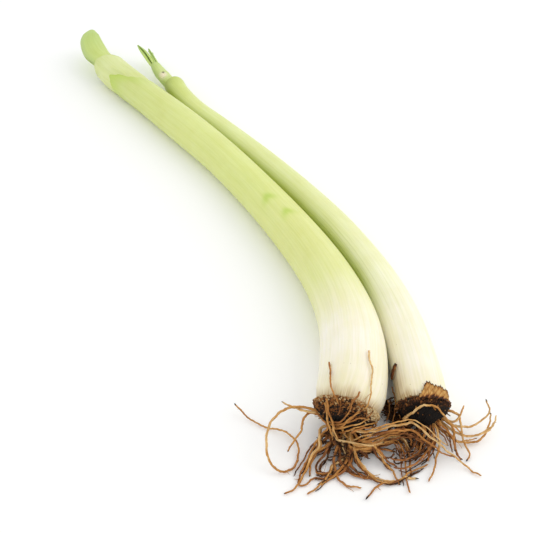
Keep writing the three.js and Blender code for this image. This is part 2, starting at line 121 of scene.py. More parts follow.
# The front leek's outer sheath.
# One leaf base rolled into a long soft stalk, cream white where it grew in earth and yellow-green above.
# It is pressed a little flat where it lies, and its top is trimmed at a slant, with the point on its left.
FOOTPRINT_MIDDLE = np.array([18.9, 233.4, 0])
PRESSED_FLAT = 0.8
ROOT_END_TILT = math.radians(20)
FRONT_LINE = [
    (2.3, 0.9, 17.3), (9, 9, 17.7), (22, 31, 17.8), (33.5, 60, 16.7), (41, 102, 15.3), (41.5, 164, 14.2),
    (34, 250, 13.6), (21.5, 319, 14.0), (7.4, 388, 13.4), (-0.5, 421, 13.9), (-3.4, 441, 13.6),
    (-4.8, 458, 12.2),
]
FRONT_RIM, FRONT_RIM_LENGTH = 0.88, 11
MOUTH_REACH = [
    (0, 387), (40, 390), (90, 400), (110, 407), (130, 421), (150, 430), (165, 427), (190, 424), (215, 418),
    (270, 398), (320, 388),
]
MOUTH_DEPTH = 10
SHEATH_SIDES = 288
SHEATH_RINGS = 220
SHEATH_WALL = 1.0
VEIN_DEPTH = 0.07
WANDER_DEPTH = 0.3
FULL_TURN = 6.28
TORN_DEPTH = 0.7
FRONT_SHADES = [
    (0, "efe6d1"), (12, "f6efe1"), (45, "f9f3e7"), (66, "f0edca"), (96, "e2e5a2"), (150, "dee297"),
    (210, "dbe291"), (300, "dbe293"), (360, "d6de8e"), (426, "cfd98a"),
]
# Two small fresh-green nicks in the sheath: distance from the root end, angle, half length and half width
GREEN_NICKS = [(187, 113, 5.5, 6.5), (164.5, 99, 5, 5.5)]


def smooth_step(share):
    t = np.clip(share, 0, 1)
    return t * t * (3 - 2 * t)


def hump(offset, half_width):
    """1 in the middle and nearly 0 past the half width."""
    return np.exp(-(offset / half_width) ** 2 * 1.5)


def round_the_stem(stops, angle):
    """A value that goes smoothly round a stem through a few (degrees, value) stops."""
    degrees = np.degrees(angle) % 360
    marks = np.array([*[stop[0] for stop in stops], 360.0])
    values = np.array([*[stop[1] for stop in stops], stops[0][1]], float)
    k = np.clip(np.searchsorted(marks, degrees, side="right") - 1, 0, len(stops) - 1)
    share = (degrees - marks[k]) / (marks[k + 1] - marks[k])
    return values[k] + (values[k + 1] - values[k]) * smooth_step(share)


def smooth_line(points):
    """A smooth line through points, as a function of the share of the way along them."""
    spots = np.asarray(points, float)
    carried = np.vstack([2 * spots[0] - spots[1], spots, 2 * spots[-1] - spots[-2]])

    def point(share):
        way = np.asarray(share, float) * (len(spots) - 1)
        k = np.minimum(way.astype(int), len(spots) - 2)
        w = (way - k)[..., None]
        before, start, stop, after = (carried[k + n] for n in range(4))
        d0, d1, d2 = (
            np.sqrt(np.linalg.norm(b - a, axis=-1, keepdims=True))
            for a, b in ((before, start), (start, stop), (stop, after))
        )
        leave = ((start - before) / d0 - (stop - before) / (d0 + d1) + (stop - start) / d1) * d1
        arrive = ((stop - start) / d1 - (after - start) / (d1 + d2) + (after - stop) / d2) * d1
        bend = 3 * (stop - start) - 2 * leave - arrive
        return start + leave * w + bend * w**2 + (2 * (start - stop) + leave + arrive) * w**3

    return point


def unit(vectors):
    return vectors / np.linalg.norm(vectors, axis=-1, keepdims=True)


def turned_from(angle, middle):
    """Degrees by which an angle is turned from a middle one, between -180 and 180."""
    return (np.degrees(angle) - middle + 180) % 360 - 180


class Stem:
    """A stem's middle line, radius and directions by distance from its root end, and its plate."""

    def __init__(self, line, rim, rim_length):
        self.point = smooth_line([(x, y, radius - PRESSED_FLAT) for x, y, radius in line])
        self.shares = np.linspace(0, 1, 201)
        spots = self.point(self.shares)
        self.run = np.r_[0, np.cumsum(np.linalg.norm(np.diff(spots, axis=0), axis=1))]
        self.length = self.run[-1]
        self.rim, self.rim_length = rim, rim_length
        foot = self.at(0)
        cos, sin = math.cos(ROOT_END_TILT), math.sin(ROOT_END_TILT)
        self.rim_radius = foot.radius * rim
        out = -cos * foot.along - sin * foot.up
        high = cos * foot.up - sin * foot.along
        self.plate = SimpleNamespace(centre=foot.centre, out=out, up=high, side=np.cross(out, high))

    def at(self, distance):
        distance = np.asarray(distance, float)
        share = np.interp(np.clip(distance, 0, self.length), self.run, self.shares)
        step = 1e-4
        along = unit(self.point(np.minimum(share + step, 1)) - self.point(np.maximum(share - step, 0)))
        side = unit(np.stack([along[..., 1], -along[..., 0], 0 * along[..., 0]], -1))
        centre = self.point(share) + along * np.minimum(distance, 0)[..., None]
        radius = centre[..., 2] + PRESSED_FLAT
        up = np.cross(side, along)
        return SimpleNamespace(centre=centre, along=along, side=side, up=up, radius=radius)

    def rim_at(self, angle):
        return -self.rim_radius * np.sin(angle) * math.tan(ROOT_END_TILT)

    def rounded(self, distance, angle, radius):
        short = 1 - np.clip((distance - self.rim_at(angle)) / self.rim_length, 0, 1)
        return radius * (1 - (1 - self.rim) * short**2)


def point_round(place, across, high, angle):
    across = np.asarray(across * np.cos(angle))[..., None]
    high = np.asarray(high * np.sin(angle))[..., None]
    return place.centre + across * place.side + high * place.up


def rounds(count):
    return np.arange(count) * 2 * math.pi / count


def sway(x, y, seed):
    """A smooth uneven value between about -1 and 1 over a surface, the same each time for a seed."""
    draw = np.random.default_rng(seed)
    total = 0
    for turns in (1, 2, 3, 5):
        across = draw.uniform(0.6, 1.6) * turns * y
        total = total + np.sin(turns * x + across + draw.uniform(0, FULL_TURN)) / turns
    return total / 1.6


def stem_rings(stem, distances, radius_at, sides=SHEATH_SIDES):
    """Rings of a stem's skin. Each row of distances holds one ring's distance at every angle."""
    angle = rounds(sides)
    place = stem.at(distances)
    rings = point_round(place, *[radius_at(distances, angle, place.radius)] * 2, angle)
    rings[..., 2] = np.maximum(rings[..., 2], 0)
    return rings


def skinned(rings):
    """Points and faces of a closed body skinned over rings, with a fan of faces over each end."""
    count, sides = rings.shape[:2]
    points = np.vstack([rings.reshape(-1, 3), rings[0].mean(0), rings[-1].mean(0)])
    k = np.arange(sides)
    after = (k + 1) % sides
    foot = (np.arange(count - 1) * sides)[:, None]
    quads = np.stack([foot + k, foot + k + sides, foot + after + sides, foot + after], -1).reshape(-1, 4)
    last = (count - 1) * sides
    start = np.stack([np.full(sides, count * sides), k, after], -1)
    stop = np.stack([np.full(sides, count * sides + 1), last + after, last + k], -1)
    return points, [*quads.tolist(), *start.tolist(), *stop.tolist()]


def carried_over(values):
    """A value for each point of rings, with the two end points of the skin."""
    return np.concatenate([values.reshape(-1, *values.shape[2:]), values[:1].mean(1), values[-1:].mean(1)])


def lay_piece(name, points, faces, finish, nodes, traits):
    mesh = bpy.data.meshes.new(name)
    mesh.from_pydata(((points - FOOTPRINT_MIDDLE) * MM).tolist(), [], faces)
    mesh.shade_smooth()
    for trait, values in traits.items():
        kind = ("FLOAT", "value") if values.ndim == 1 else ("FLOAT_VECTOR", "vector")
        layer = mesh.attributes.new(trait, kind[0], "POINT")
        layer.data.foreach_set(kind[1], values.astype(np.float32).ravel())
    mesh.materials.append(finish)
    piece = bpy.data.objects.new(name, mesh)
    bpy.context.scene.collection.objects.link(piece)
    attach(piece, "root")
    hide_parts(*nodes)
    return piece


def wired(tree, kind, sockets, **settings):
    """A shader node with its settings made and its sockets linked or set."""
    made = tree.nodes.new("ShaderNode" + kind)
    for name, value in settings.items():
        setattr(made, name, value)
    for name, value in sockets.items():
        if isinstance(value, bpy.types.NodeSocket):
            tree.links.new(value, made.inputs[name])
        else:
            made.inputs[name].default_value = value
    return made


def trait_of(tree, name, output="Fac"):
    return wired(tree, "Attribute", {}, attribute_name=name).outputs[output]


def fitted(tree, value, low, high, start=0.0, stop=1.0):
    sockets = {"Value": value, "From Min": low, "From Max": high, "To Min": start, "To Max": stop}
    return wired(tree, "MapRange", sockets).outputs["Result"]


def ramped(tree, value, stops):
    """Colours or shares by a value from 0 to 1."""
    made = wired(tree, "ValToRGB", {"Fac": value})
    ramp = made.color_ramp
    while len(ramp.elements) < len(stops):
        ramp.elements.new(1)
    for element, (place, code) in zip(ramp.elements, stops):
        element.position = place
        element.color = colour(code)
    return made.outputs["Color"]


def mixed(tree, share, under, over, way="MIX"):
    sockets = {0: share, 6: under, 7: over}
    return wired(tree, "Mix", sockets, data_type="RGBA", blend_type=way).outputs[2]


def product(tree, one, other):
    return wired(tree, "Math", {0: one, 1: other}, operation="MULTIPLY").outputs[0]


def mottle(tree, place, scale, detail=2.0, roughness=0.5):
    sockets = {"Vector": place, "Scale": scale, "Detail": detail, "Roughness": roughness}
    return wired(tree, "TexNoise", sockets).outputs["Fac"]


def fresh_finish(name, shades, reach, greener, vein_scale=1.15):
    """Fresh sheath or leaf: shades along it, fine lengthwise veins, green tints by the green trait (real
    marks on some skins, painted shade on others), earthy stains, a soft gloss.
    """
    finish = bpy.data.materials.new(name)
    finish.use_nodes = True
    tree = finish.node_tree
    shader = tree.nodes["Principled BSDF"]
    grain = trait_of(tree, "grain", "Vector")
    body_shade = ramped(
        tree, fitted(tree, trait_of(tree, "along"), 0, reach), [(d / reach, c) for d, c in shades]
    )
    veins = mottle(tree, grain, vein_scale, 3.0, 0.6)
    bands = mottle(tree, grain, 0.3, 2.0)
    clouds = mottle(tree, trait_of(tree, "place", "Vector"), 0.045, 3.0)
    veined = mixed(
        tree, 1.0, body_shade, ramped(tree, veins, [(0.3, "f8f9ee"), (0.62, "ffffff")]), "MULTIPLY"
    )
    banded = mixed(tree, 1.0, veined, ramped(tree, bands, [(0.35, "fbfcf2"), (0.6, "ffffff")]), "MULTIPLY")
    clouded = mixed(tree, 1.0, banded, ramped(tree, clouds, [(0.3, "fbfaf0"), (0.6, "ffffff")]), "MULTIPLY")
    greened = mixed(tree, trait_of(tree, "green"), clouded, colour(greener))
    fibres = fitted(tree, mottle(tree, grain, 1.6, 4.0, 0.7), 0.35, 0.62)
    soil = trait_of(tree, "soil")
    stain = product(tree, soil, fitted(tree, fibres, 0, 1, 0.6, 1))
    stained = mixed(tree, stain, greened, mixed(tree, fibres, colour("cdb889"), colour("a07a48")))
    freckles = wired(tree, "TexVoronoi", {"Vector": trait_of(tree, "place", "Vector"), "Scale": 0.42})
    dots = fitted(tree, freckles.outputs["Distance"], 0.07, 0.13, 1, 0)
    lot = wired(tree, "SeparateColor", {"Color": freckles.outputs["Color"]}).outputs[0]
    picked = fitted(tree, lot, 0.86, 0.88)
    near_roots = fitted(tree, trait_of(tree, "along"), 14, 60, 0.75, 0)
    freckling = product(tree, product(tree, dots, picked), near_roots)
    freckled = mixed(tree, freckling, stained, colour("8a6b3c"))
    tree.links.new(freckled, shader.inputs["Base Color"])
    gloss = fitted(tree, veins, 0.3, 0.7, 0.5, 0.36)
    tree.links.new(gloss, shader.inputs["Roughness"])
    shader.inputs["Specular IOR Level"].default_value = 0.42
    shader.inputs["Subsurface Weight"].default_value = 0.22
    shader.inputs["Subsurface Radius"].default_value = (1.0, 0.85, 0.35)
    shader.inputs["Subsurface Scale"].default_value = 3 * MM
    relief = wired(tree, "Bump", {"Height": veins, "Strength": 0.35, "Distance": 0.12 * MM})
    tree.links.new(relief.outputs["Normal"], shader.inputs["Normal"])
    return finish


def sheath_grain(angle, distance, radius):
    """Places across the skin, drawn out along the stem, so that a pattern runs in lengthwise veins."""
    drawn_out = 0.03
    return np.stack(np.broadcast_arrays(
        radius * np.cos(angle), radius * np.sin(angle), distance * drawn_out), -1)


def sheath_relief(angle, distance, seed):
    """How far the skin lies below its full radius: fine ribs over the veins, and a slow unevenness."""
    ribs = 0
    for turns, run in ((41, 90), (67, 60), (29, 120)):
        ribs = ribs + np.sin(turns * angle + 2 * np.sin(distance / run + turns))
    ribbed = 0.3 + 0.7 * smooth_step((distance - 20) / 80) + 1.3 * hump(distance - 120, 90) * hump(
        np.degrees(angle) - 140, 60)
    return VEIN_DEPTH * ribbed * (3 - ribs) / 6 + WANDER_DEPTH * (1 - sway(angle, distance / 55, seed)) / 2


def spaced(start, stop, count):
    """Distances in even steps from start to stop at each angle, one row to a ring."""
    start, stop = np.broadcast_arrays(np.asarray(start, float), stop)
    return start + (stop - start) * np.linspace(0, 1, count)[:, None]


front = Stem(FRONT_LINE, FRONT_RIM, FRONT_RIM_LENGTH)
around = rounds(SHEATH_SIDES)
mouth_reach = round_the_stem(MOUTH_REACH, around)
mouth_edge = mouth_reach - TORN_DEPTH * (1 + sway(3 * around, 0, 5)) / 2
front_rim = front.rim_at(around)


def front_skin(distance, angle, radius):
    return front.rounded(distance, angle, radius) - sheath_relief(angle, distance, 11)


# The lip of a cut sheath: distance back from its edge and depth below the skin, from outside to inside
LIP = [(0.5, 0.1), (0.12, 0.3), (0, 0.55), (0.2, 0.85), (0.7, 1.0)]
lip_distances = np.stack([mouth_edge - back for back, _ in LIP] + [mouth_reach - MOUTH_DEPTH])
lip_depths = np.array([depth for _, depth in LIP] + [SHEATH_WALL])[:, None]
skin_distances = np.vstack([
    spaced(front_rim, front_rim + FRONT_RIM_LENGTH, 12),
    spaced(front_rim + FRONT_RIM_LENGTH, mouth_edge - 1, SHEATH_RINGS)[1:],
])
outer_rings = stem_rings(front, skin_distances, front_skin)
lip_rings = stem_rings(front, lip_distances, lambda d, a, radius: radius - lip_depths)
all_distances = np.vstack([skin_distances, lip_distances])
front_rings = np.concatenate([outer_rings, lip_rings])
nicks = 0
for distance, degrees, half_long, half_wide in GREEN_NICKS:
    across = ((around - math.radians(degrees) + math.pi) % (2 * math.pi) - math.pi) * 14
    arrow = all_distances - distance + 0.7 * np.abs(across)
    nicks = nicks + hump(arrow, half_long * 0.85) * hump(across, half_wide * 0.9)
near_point = hump(turned_from(around, 150), 75)
green = np.clip(0.9 * nicks, 0, 1) + 0.9 * near_point * smooth_step(1 - (mouth_reach - all_distances) / 26)
soil = 0.9 * smooth_step(1 - (all_distances - front_rim) / (7.5 + 2.5 * sway(4 * around, 0, 3)))
points, faces = skinned(front_rings)
lay_piece(
    "front_outer_sheath", points, faces, fresh_finish("front_sheath_green", FRONT_SHADES, 500, "b9d054"),
    ["front_shaft"],
    {
        "along": carried_over(all_distances),
        "grain": carried_over(sheath_grain(around, all_distances, 15.0)),
        "place": points,
        "green": carried_over(np.clip(green, 0, 1)),
        "soil": carried_over(np.clip(soil, 0, 1)),
    },
)

# The front leek's second sheath.
# The next leaf base inside the first one. It stands in that one's mouth, swells a little where it comes
# free, and ends in a thin soft edge round the young leaf.
SECOND_REACH = [
    (0, 450), (60, 452), (110, 460), (150, 466), (190, 460), (250, 453), (310, 450),
]
FOOT_GAP = 1.1
FIT_GAP = 0.35
FLARE_START, FLARE_LENGTH = 2, 16
SECOND_CUP = 8
SECOND_SHADES = [(380, "d3da92"), (420, "d9e09c"), (440, "dce3a2"), (456, "d5de94"), (470, "cfda8a")]

second_reach = round_the_stem(SECOND_REACH, around)
second_edge = second_reach - TORN_DEPTH * (1 + sway(4 * around, 0, 8)) / 2
second_foot = mouth_reach - MOUTH_DEPTH + FOOT_GAP


def second_skin(distance, angle, radius):
    free = smooth_step((distance - mouth_reach - FLARE_START) / FLARE_LENGTH)
    return radius - (SHEATH_WALL + FIT_GAP) * (1 - free) - free * sheath_relief(angle, distance, 21)


second_skin_distances = spaced(second_foot, second_edge - 1, 90)
second_lip_distances = np.stack([second_edge - back for back, _ in LIP] + [second_reach - SECOND_CUP])
all_distances = np.vstack([second_skin_distances, second_lip_distances])
second_rings = np.concatenate([
    stem_rings(front, second_skin_distances, second_skin),
    stem_rings(front, second_lip_distances, lambda d, a, radius: radius - lip_depths),
])
points, faces = skinned(second_rings)
lay_piece(
    "front_second_leaf_base", points, faces,
    fresh_finish("second_sheath_green", SECOND_SHADES, 500, "b9cf62"),
    ["front_second_sheath"],
    {
        "along": carried_over(all_distances),
        "grain": carried_over(sheath_grain(around, all_distances, 14.0)),
        "place": points,
        "green": carried_over(0.35 * smooth_step(1 - (second_reach - all_distances) / 5)),
        "soil": np.zeros(len(points)),
    },
)

# The front leek's young leaf.
# A soft green leaf folded flat on itself, with its keel on the right and its two edges together on the
# left. It comes out of the second sheath and ends in a rounded slanting tip. Its left edge is painted a
# greyer green as its shaded side.
YOUNG_LEAF = [
    (-3.2, 434, 13.2, 8.6, 5.2), (-6.1, 452, 15.4, 10.1, 5.4), (-9.4, 467, 17, 11.2, 5.2),
    (-9.6, 480, 18.3, 11, 4.6), (-8.5, 494, 19.5, 10, 3.8), (-5.7, 507, 20.4, 7.6, 2.8),
    (-2.6, 516, 21, 3, 1.4),
]
LEAF_WALL = 1.3
YOUNG_LEAF_SHADES = [(430, "cfdc84"), (462, "c6d67c"), (490, "bcd172"), (520, "b4cc6c")]


def folded_leaf(stations, wall, opening, gape, steps, sides):
    """Rings of a leaf folded on itself: round the outside from edge to edge and back along the inside."""
    line = smooth_line([station[:3] for station in stations])
    sizes = smooth_line([(wide, high, 0) for *_, wide, high in stations])
    share = np.linspace(0, 1, steps)
    step = 1e-3
    along = unit(line(np.minimum(share + step, 1)) - line(np.maximum(share - step, 0)))
    side = unit(np.stack([along[:, 1], -along[:, 0], 0 * share], -1))
    place = SimpleNamespace(
        centre=line(share)[:, None], side=side[:, None], up=np.cross(side, along)[:, None]
    )
    wide, high = sizes(share)[:, :1], sizes(share)[:, 1:2]
    angle = np.linspace(opening + gape, opening + 2 * math.pi - gape, sides)
    crease = 1 - 0.1 * hump(np.degrees(angle) % 360 - 118, 16)
    outside = point_round(place, wide * crease, high * crease, angle)
    thin = np.minimum(wall, 0.6 * high)
    inside = point_round(place, wide - thin, high - thin, angle[::-1])
    return np.concatenate([outside, inside], 1), np.tile(np.r_[angle, angle[::-1]], (steps, 1)), share


def skinned_fold(rings):
    """As skinned, with its ends closed between the outside and the inside of the fold."""
    points, faces = skinned(rings)
    count, sides = rings.shape[:2]
    last = (count - 1) * sides
    faces = faces[:(count - 1) * sides]
    for k in range(sides // 2 - 1):
        back = sides - 1 - k
        faces += [(k, k + 1, back - 1, back), (last + back, last + back - 1, last + k + 1, last + k)]
    return points[:-2], faces


def leaf_traits(rings, angle, share, first, length, points, across):
    distance = np.broadcast_to(first + share[:, None] * length, angle.shape)
    return {
        "along": distance.reshape(-1),
        "grain": sheath_grain(angle, distance, across).reshape(-1, 3),
        "place": points,
        "green": np.zeros(len(points)),
        "soil": np.zeros(len(points)),
    }


rings, angle, share = folded_leaf(YOUNG_LEAF, LEAF_WALL, math.pi, math.radians(7), 90, 80)
points, faces = skinned_fold(rings)
traits = leaf_traits(rings, angle, share, 430, 90, points, 9.0)
# painted shade: the left edge is tinted a greyer green (a3bb78) as its shaded side
shaded_left_edge = hump((np.degrees(angle) % 360 - 168), 40).reshape(-1)
traits["green"] = 0.5 * shaded_left_edge
lay_piece(
    "front_young_leaf", points, faces,
    fresh_finish("young_leaf_green", YOUNG_LEAF_SHADES, 520, "a3bb78", 0.9),
    ["front_inner_leaf"], traits,
)

# The back leek's outer sheath.
# The same kind of stalk on a thinner, paler leek. Its top dried in and closed to a rounded collar, and
# earth has stained it brown low on its left, where it lies against the front leek. Its left flank and
# collar, which face the front leek, are painted a deeper olive green as shade and bounced green light.
BACK_LINE = [
    (40.6, -8.6, 13.2), (49.3, 12.3, 13.1), (61.3, 49.1, 12.7), (68.2, 89.3, 12.4), (70.0, 136, 12.0),
    (66.9, 184.4, 11.4), (60.2, 239.2, 10.7), (50.1, 302.2, 9.8), (42.0, 345, 9.3), (39.6, 379, 9.2),
    (41.2, 400.5, 9.0),
]
BACK_RIM, BACK_RIM_LENGTH = 0.95, 8
COLLAR_LENGTH, COLLAR_CLOSING, COLLAR_CUP = 5, 0.45, 4
BACK_SHADES = [
    (0, "f3ead6"), (20, "f8f2e5"), (60, "f7f3e2"), (100, "f0f0cc"), (150, "e6e9b2"), (220, "dfe5a4"),
    (300, "e1e8a6"), (360, "dce498"), (396, "d0dc80"), (416, "c4d26c"),
]

back = Stem(BACK_LINE, BACK_RIM, BACK_RIM_LENGTH)
back_rim = back.rim_at(around)
shoulder = back.length - COLLAR_LENGTH


def back_skin(distance, angle, radius):
    closed = np.clip((distance - shoulder) / COLLAR_LENGTH, 0, 1)
    collar = radius * np.sqrt(1 - COLLAR_CLOSING * closed**2)
    return np.where(distance < shoulder, back.rounded(distance, angle, radius), collar) - sheath_relief(
        angle, distance, 31)


skin_distances = np.vstack([
    spaced(back_rim, back_rim + BACK_RIM_LENGTH, 10),
    spaced(back_rim + BACK_RIM_LENGTH, shoulder, SHEATH_RINGS)[1:],
    spaced(shoulder + 0 * around, back.length, 14)[1:],
])
lip_distances = np.stack([back.length - 0.1 + 0 * around, back.length - 0.6 + 0 * around,
                          back.length - COLLAR_CUP + 0 * around])
all_distances = np.vstack([skin_distances, lip_distances])
collar_depths = np.array([0.45, 0.9, 1.2])[:, None]
back_rings = np.concatenate([
    stem_rings(back, skin_distances, back_skin),
    stem_rings(
        back, lip_distances, lambda d, a, radius: radius * math.sqrt(1 - COLLAR_CLOSING) - collar_depths
    ),
])
points, faces = skinned(back_rings)
facing_front = hump(turned_from(around, 166), 34)
stain = facing_front * smooth_step(1 - (all_distances - 4) / 26) * 0.95
rim_soil = smooth_step(1 - (all_distances - back_rim) / (5 + 3 * sway(4 * around, 0, 13))) * 0.85
# painted shade: the left flank and collar, facing the front leek, are tinted a deeper olive green (94a424)
# for the shade and the green light bounced between the leeks
collar_shade_green = smooth_step((all_distances - shoulder + 22) / 30) * hump(turned_from(around, 165), 70)
flank_shade_green = 0.95 * hump(turned_from(around, 170), 44) * smooth_step((all_distances - 48) / 60)
green = np.maximum(collar_shade_green, flank_shade_green)
lay_piece(
    "back_outer_sheath", points, faces, fresh_finish("back_sheath_green", BACK_SHADES, 450, "94a424"),
    ["back_shaft"],
    {
        "along": carried_over(all_distances),
        "grain": carried_over(sheath_grain(around, all_distances, 12.0)),
        "place": points,
        "green": carried_over(np.clip(green, 0, 1)),
        "soil": carried_over(np.clip(stain + rim_soil, 0, 1)),
    },
)

# The back leek's neck.
# The bare end of the stalk, which stands out of the collar. A pale corky scar with a dark pit is left on
# it where a leaf was pulled off. Its left side, towards the front leek, is painted greener as shade.
NECK = [
    (38.6, 393, 9, 5.4, 5.4), (37.6, 403.5, 9.2, 5.9, 5.9), (36.6, 419.4, 9.8, 6.1, 5.9),
    (36.2, 430, 10.2, 5.4, 5.2), (36.2, 439, 10.4, 4.4, 4.0), (36.4, 443, 10.6, 2.6, 2.4),
]
NECK_SHADES = [(0, "c8d884"), (45, "ccdb8c"), (80, "b6cb68"), (100, "9fba4e")]
SCAR = (34.4, 409.5, 14.6)
SCAR_RADIUS = 4.8
PIT = (36.2, 414.0, 15.2)
PIT_RADIUS = 1.8

neck_line = smooth_line([station[:3] for station in NECK])
neck_sizes = smooth_line([(wide, high, 0) for *_, wide, high in NECK])
share = np.linspace(0, 1, 80)
neck_angle = rounds(96)
level = SimpleNamespace(
    centre=neck_line(share)[:, None], side=np.array([1.0, 0, 0]), up=np.array([0, 0, 1.0])
)
lumps = 0.94 + 0.05 * sway(neck_angle, share[:, None] * 7, 41)
rings = point_round(level, neck_sizes(share)[:, :1] * lumps, neck_sizes(share)[:, 1:2] * lumps, neck_angle)
to_scar = np.linalg.norm((rings - np.array(SCAR)) * (1, 0.7, 1), axis=-1)
to_pit = np.linalg.norm(rings - np.array(PIT), axis=-1)
outwards = unit(rings - neck_line(share)[:, None])
rough = 0.5 + 0.5 * sway(rings[..., 0] * 2.4, rings[..., 1] * 2.1, 43)
scar_height = hump(to_scar, SCAR_RADIUS) * (0.15 + 0.45 * rough)
pit_depth = hump(to_pit, PIT_RADIUS) * 0.9
rings = rings + outwards * (scar_height - pit_depth)[..., None]
points, faces = skinned(rings)
neck_finish = fresh_finish("neck_green", NECK_SHADES, 100, "8fae3f", 1.4)
neck_tree = neck_finish.node_tree
neck_shader = neck_tree.nodes["Principled BSDF"]
plain_green = neck_shader.inputs["Base Color"].links[0].from_socket
corky = ramped(neck_tree, mottle(neck_tree, trait_of(neck_tree, "place", "Vector"), 1.1, 4.0), [
    (0.35, "d8bd94"), (0.5, "f4ebd0"), (0.7, "fbeee0")])
scarred = mixed(neck_tree, trait_of(neck_tree, "scar"), plain_green, corky)
pitted = mixed(neck_tree, trait_of(neck_tree, "pit"), scarred, colour("3d3219"))
neck_tree.links.new(pitted, neck_shader.inputs["Base Color"])
lay_piece("back_bare_neck", points, faces, neck_finish, ["back_neck"], {
    "along": carried_over(np.broadcast_to(share[:, None] * 100, to_scar.shape)),
    "grain": carried_over(sheath_grain(neck_angle, np.broadcast_to(share[:, None] * 50, to_scar.shape), 6.0)),
    "place": points,
    # painted shade: the left side of the neck is tinted green (8fae3f) as its shaded side
    "green": carried_over(np.clip(0.55 * (hump(turned_from(neck_angle, 175), 40)
                                          + 0 * to_scar), 0, 1)),
    "soil": np.zeros(len(points)),
    "scar": carried_over(np.clip(1.3 * hump(to_scar, SCAR_RADIUS * 0.85) * (0.55 + 0.8 * rough), 0, 1)),
    "pit": carried_over(np.clip(1.5 * hump(to_pit, PIT_RADIUS * 0.75), 0, 1)),
})

# The back leek's last two leaves.
# Two thin young leaves left at the end of the neck. Each is folded lengthwise with its slit upwards, and
# its inside and the skin beside the slit are painted a darker green as shade in the fold, so a dark line
# runs along it. One comes to a point and the other is torn into a few ragged tips.
POINTED_LEAF = [
    (34.5, 434, 10.3, 2.0, 1.2), (34.2, 443, 10.8, 2.6, 1.4), (34.2, 456, 12, 3.1, 1.5),
    (33.7, 467, 13, 2.9, 1.3), (33, 475, 13.6, 2.1, 0.9), (32.3, 482, 14, 0.6, 0.5),
]
RAGGED_LEAF = [
    (38.3, 434, 10.2, 1.5, 1.2), (38.7, 443, 10.4, 1.9, 1.3), (38.8, 452, 11.7, 1.8, 1.2),
    (39, 461, 13, 1.4, 0.9), (39.2, 470, 14, 0.6, 0.5),
]
# Splinters of the ragged leaf: how far along it each one starts and ends, and how far it leans out
# sideways
SPLINTERS = [(0.35, 0.9, -1.5), (0.3, 0.97, 0.9), (0.45, 0.8, 2.1)]
LAST_LEAF_SHADES = [(0, "c9dc7c"), (45, "c0d878"), (80, "b2ce6c"), (100, "a4c260")]
last_leaf_finish = fresh_finish("last_leaf_green", LAST_LEAF_SHADES, 100, "7fa340", 1.6)

for name, node, stations in (("back_pointed_leaf", "back_leaf_1", POINTED_LEAF),
                             ("back_ragged_leaf", "back_leaf_2", RAGGED_LEAF)):
    parts = [(stations, 1.0)]
    if node == "back_leaf_2":
        line = smooth_line(stations)
        for start, stop, lean in SPLINTERS:
            shares = np.linspace(start, stop, 5)
            splinter = line(shares)
            splinter[:, 0] += lean * np.linspace(0, 1, 5) ** 1.4
            splinter[:, 3] *= (0.5, 0.45, 0.4, 0.3, 0.12)
            splinter[:, 4] *= (0.8, 0.7, 0.6, 0.4, 0.2)
            parts.append((splinter.tolist(), 0.6))
    points, faces, traits = [], [], []
    for stations, wall in parts:
        rings, angle, share = folded_leaf(stations, 0.55 * wall, math.radians(100), math.radians(16), 60, 36)
        leaf_points, leaf_faces = skinned_fold(rings)
        faces += [[corner + sum(map(len, points)) for corner in face] for face in leaf_faces]
        leaf = leaf_traits(rings, angle, share, 0, 100, leaf_points, 2.0)
        # painted shade: the inside of the fold and the skin beside the slit are tinted a darker green
        # (7fa340) as shade in the fold
        fold_inside_shade = np.r_[np.zeros(36), np.ones(36)]
        shade_beside_slit = hump(np.degrees(angle) % 360 - 100, 34)
        leaf["green"] = np.clip(0.5 * np.tile(fold_inside_shade, 60) + 0.35 * shade_beside_slit.reshape(-1), 0, 1)
        points.append(leaf_points)
        traits.append(leaf)
    joined = {key: np.concatenate([leaf[key] for leaf in traits]) for key in traits[0]}
    lay_piece(name, np.concatenate(points), faces, last_leaf_finish, [node], joined)

# The root plates.
# The hard disc at the foot of each leek, which its roots grow out of. It is a low rough cone of dried
# tissue, rusty brown at the edge and nearly black in the middle. That black is partly the plate's own
# dark tissue and partly painted shade on its face among the roots.
PLATE_OUTLINE = [(0, 0.97), (0.8, 1.05), (2.4, 1.02), (4.5, 0.9), (7, 0.68), (9.5, 0.38), (10.8, 0.14)]
PLATE_REACH = PLATE_OUTLINE[-1][0]
PLATE_SIDES, PLATE_RINGS = 180, 60
PLATE_ROUGHNESS = 0.4
TABLE_CLEARANCE = 0.05
# Where round the front root end the tissue is still fresh and pale, and how widely, in degrees
FRESH_SIDE, FRESH_SPREAD = 168, 45
plate_marks, plate_shares = zip(*PLATE_OUTLINE)


def plate_share(distance):
    return np.interp(distance, plate_marks, plate_shares, right=0)


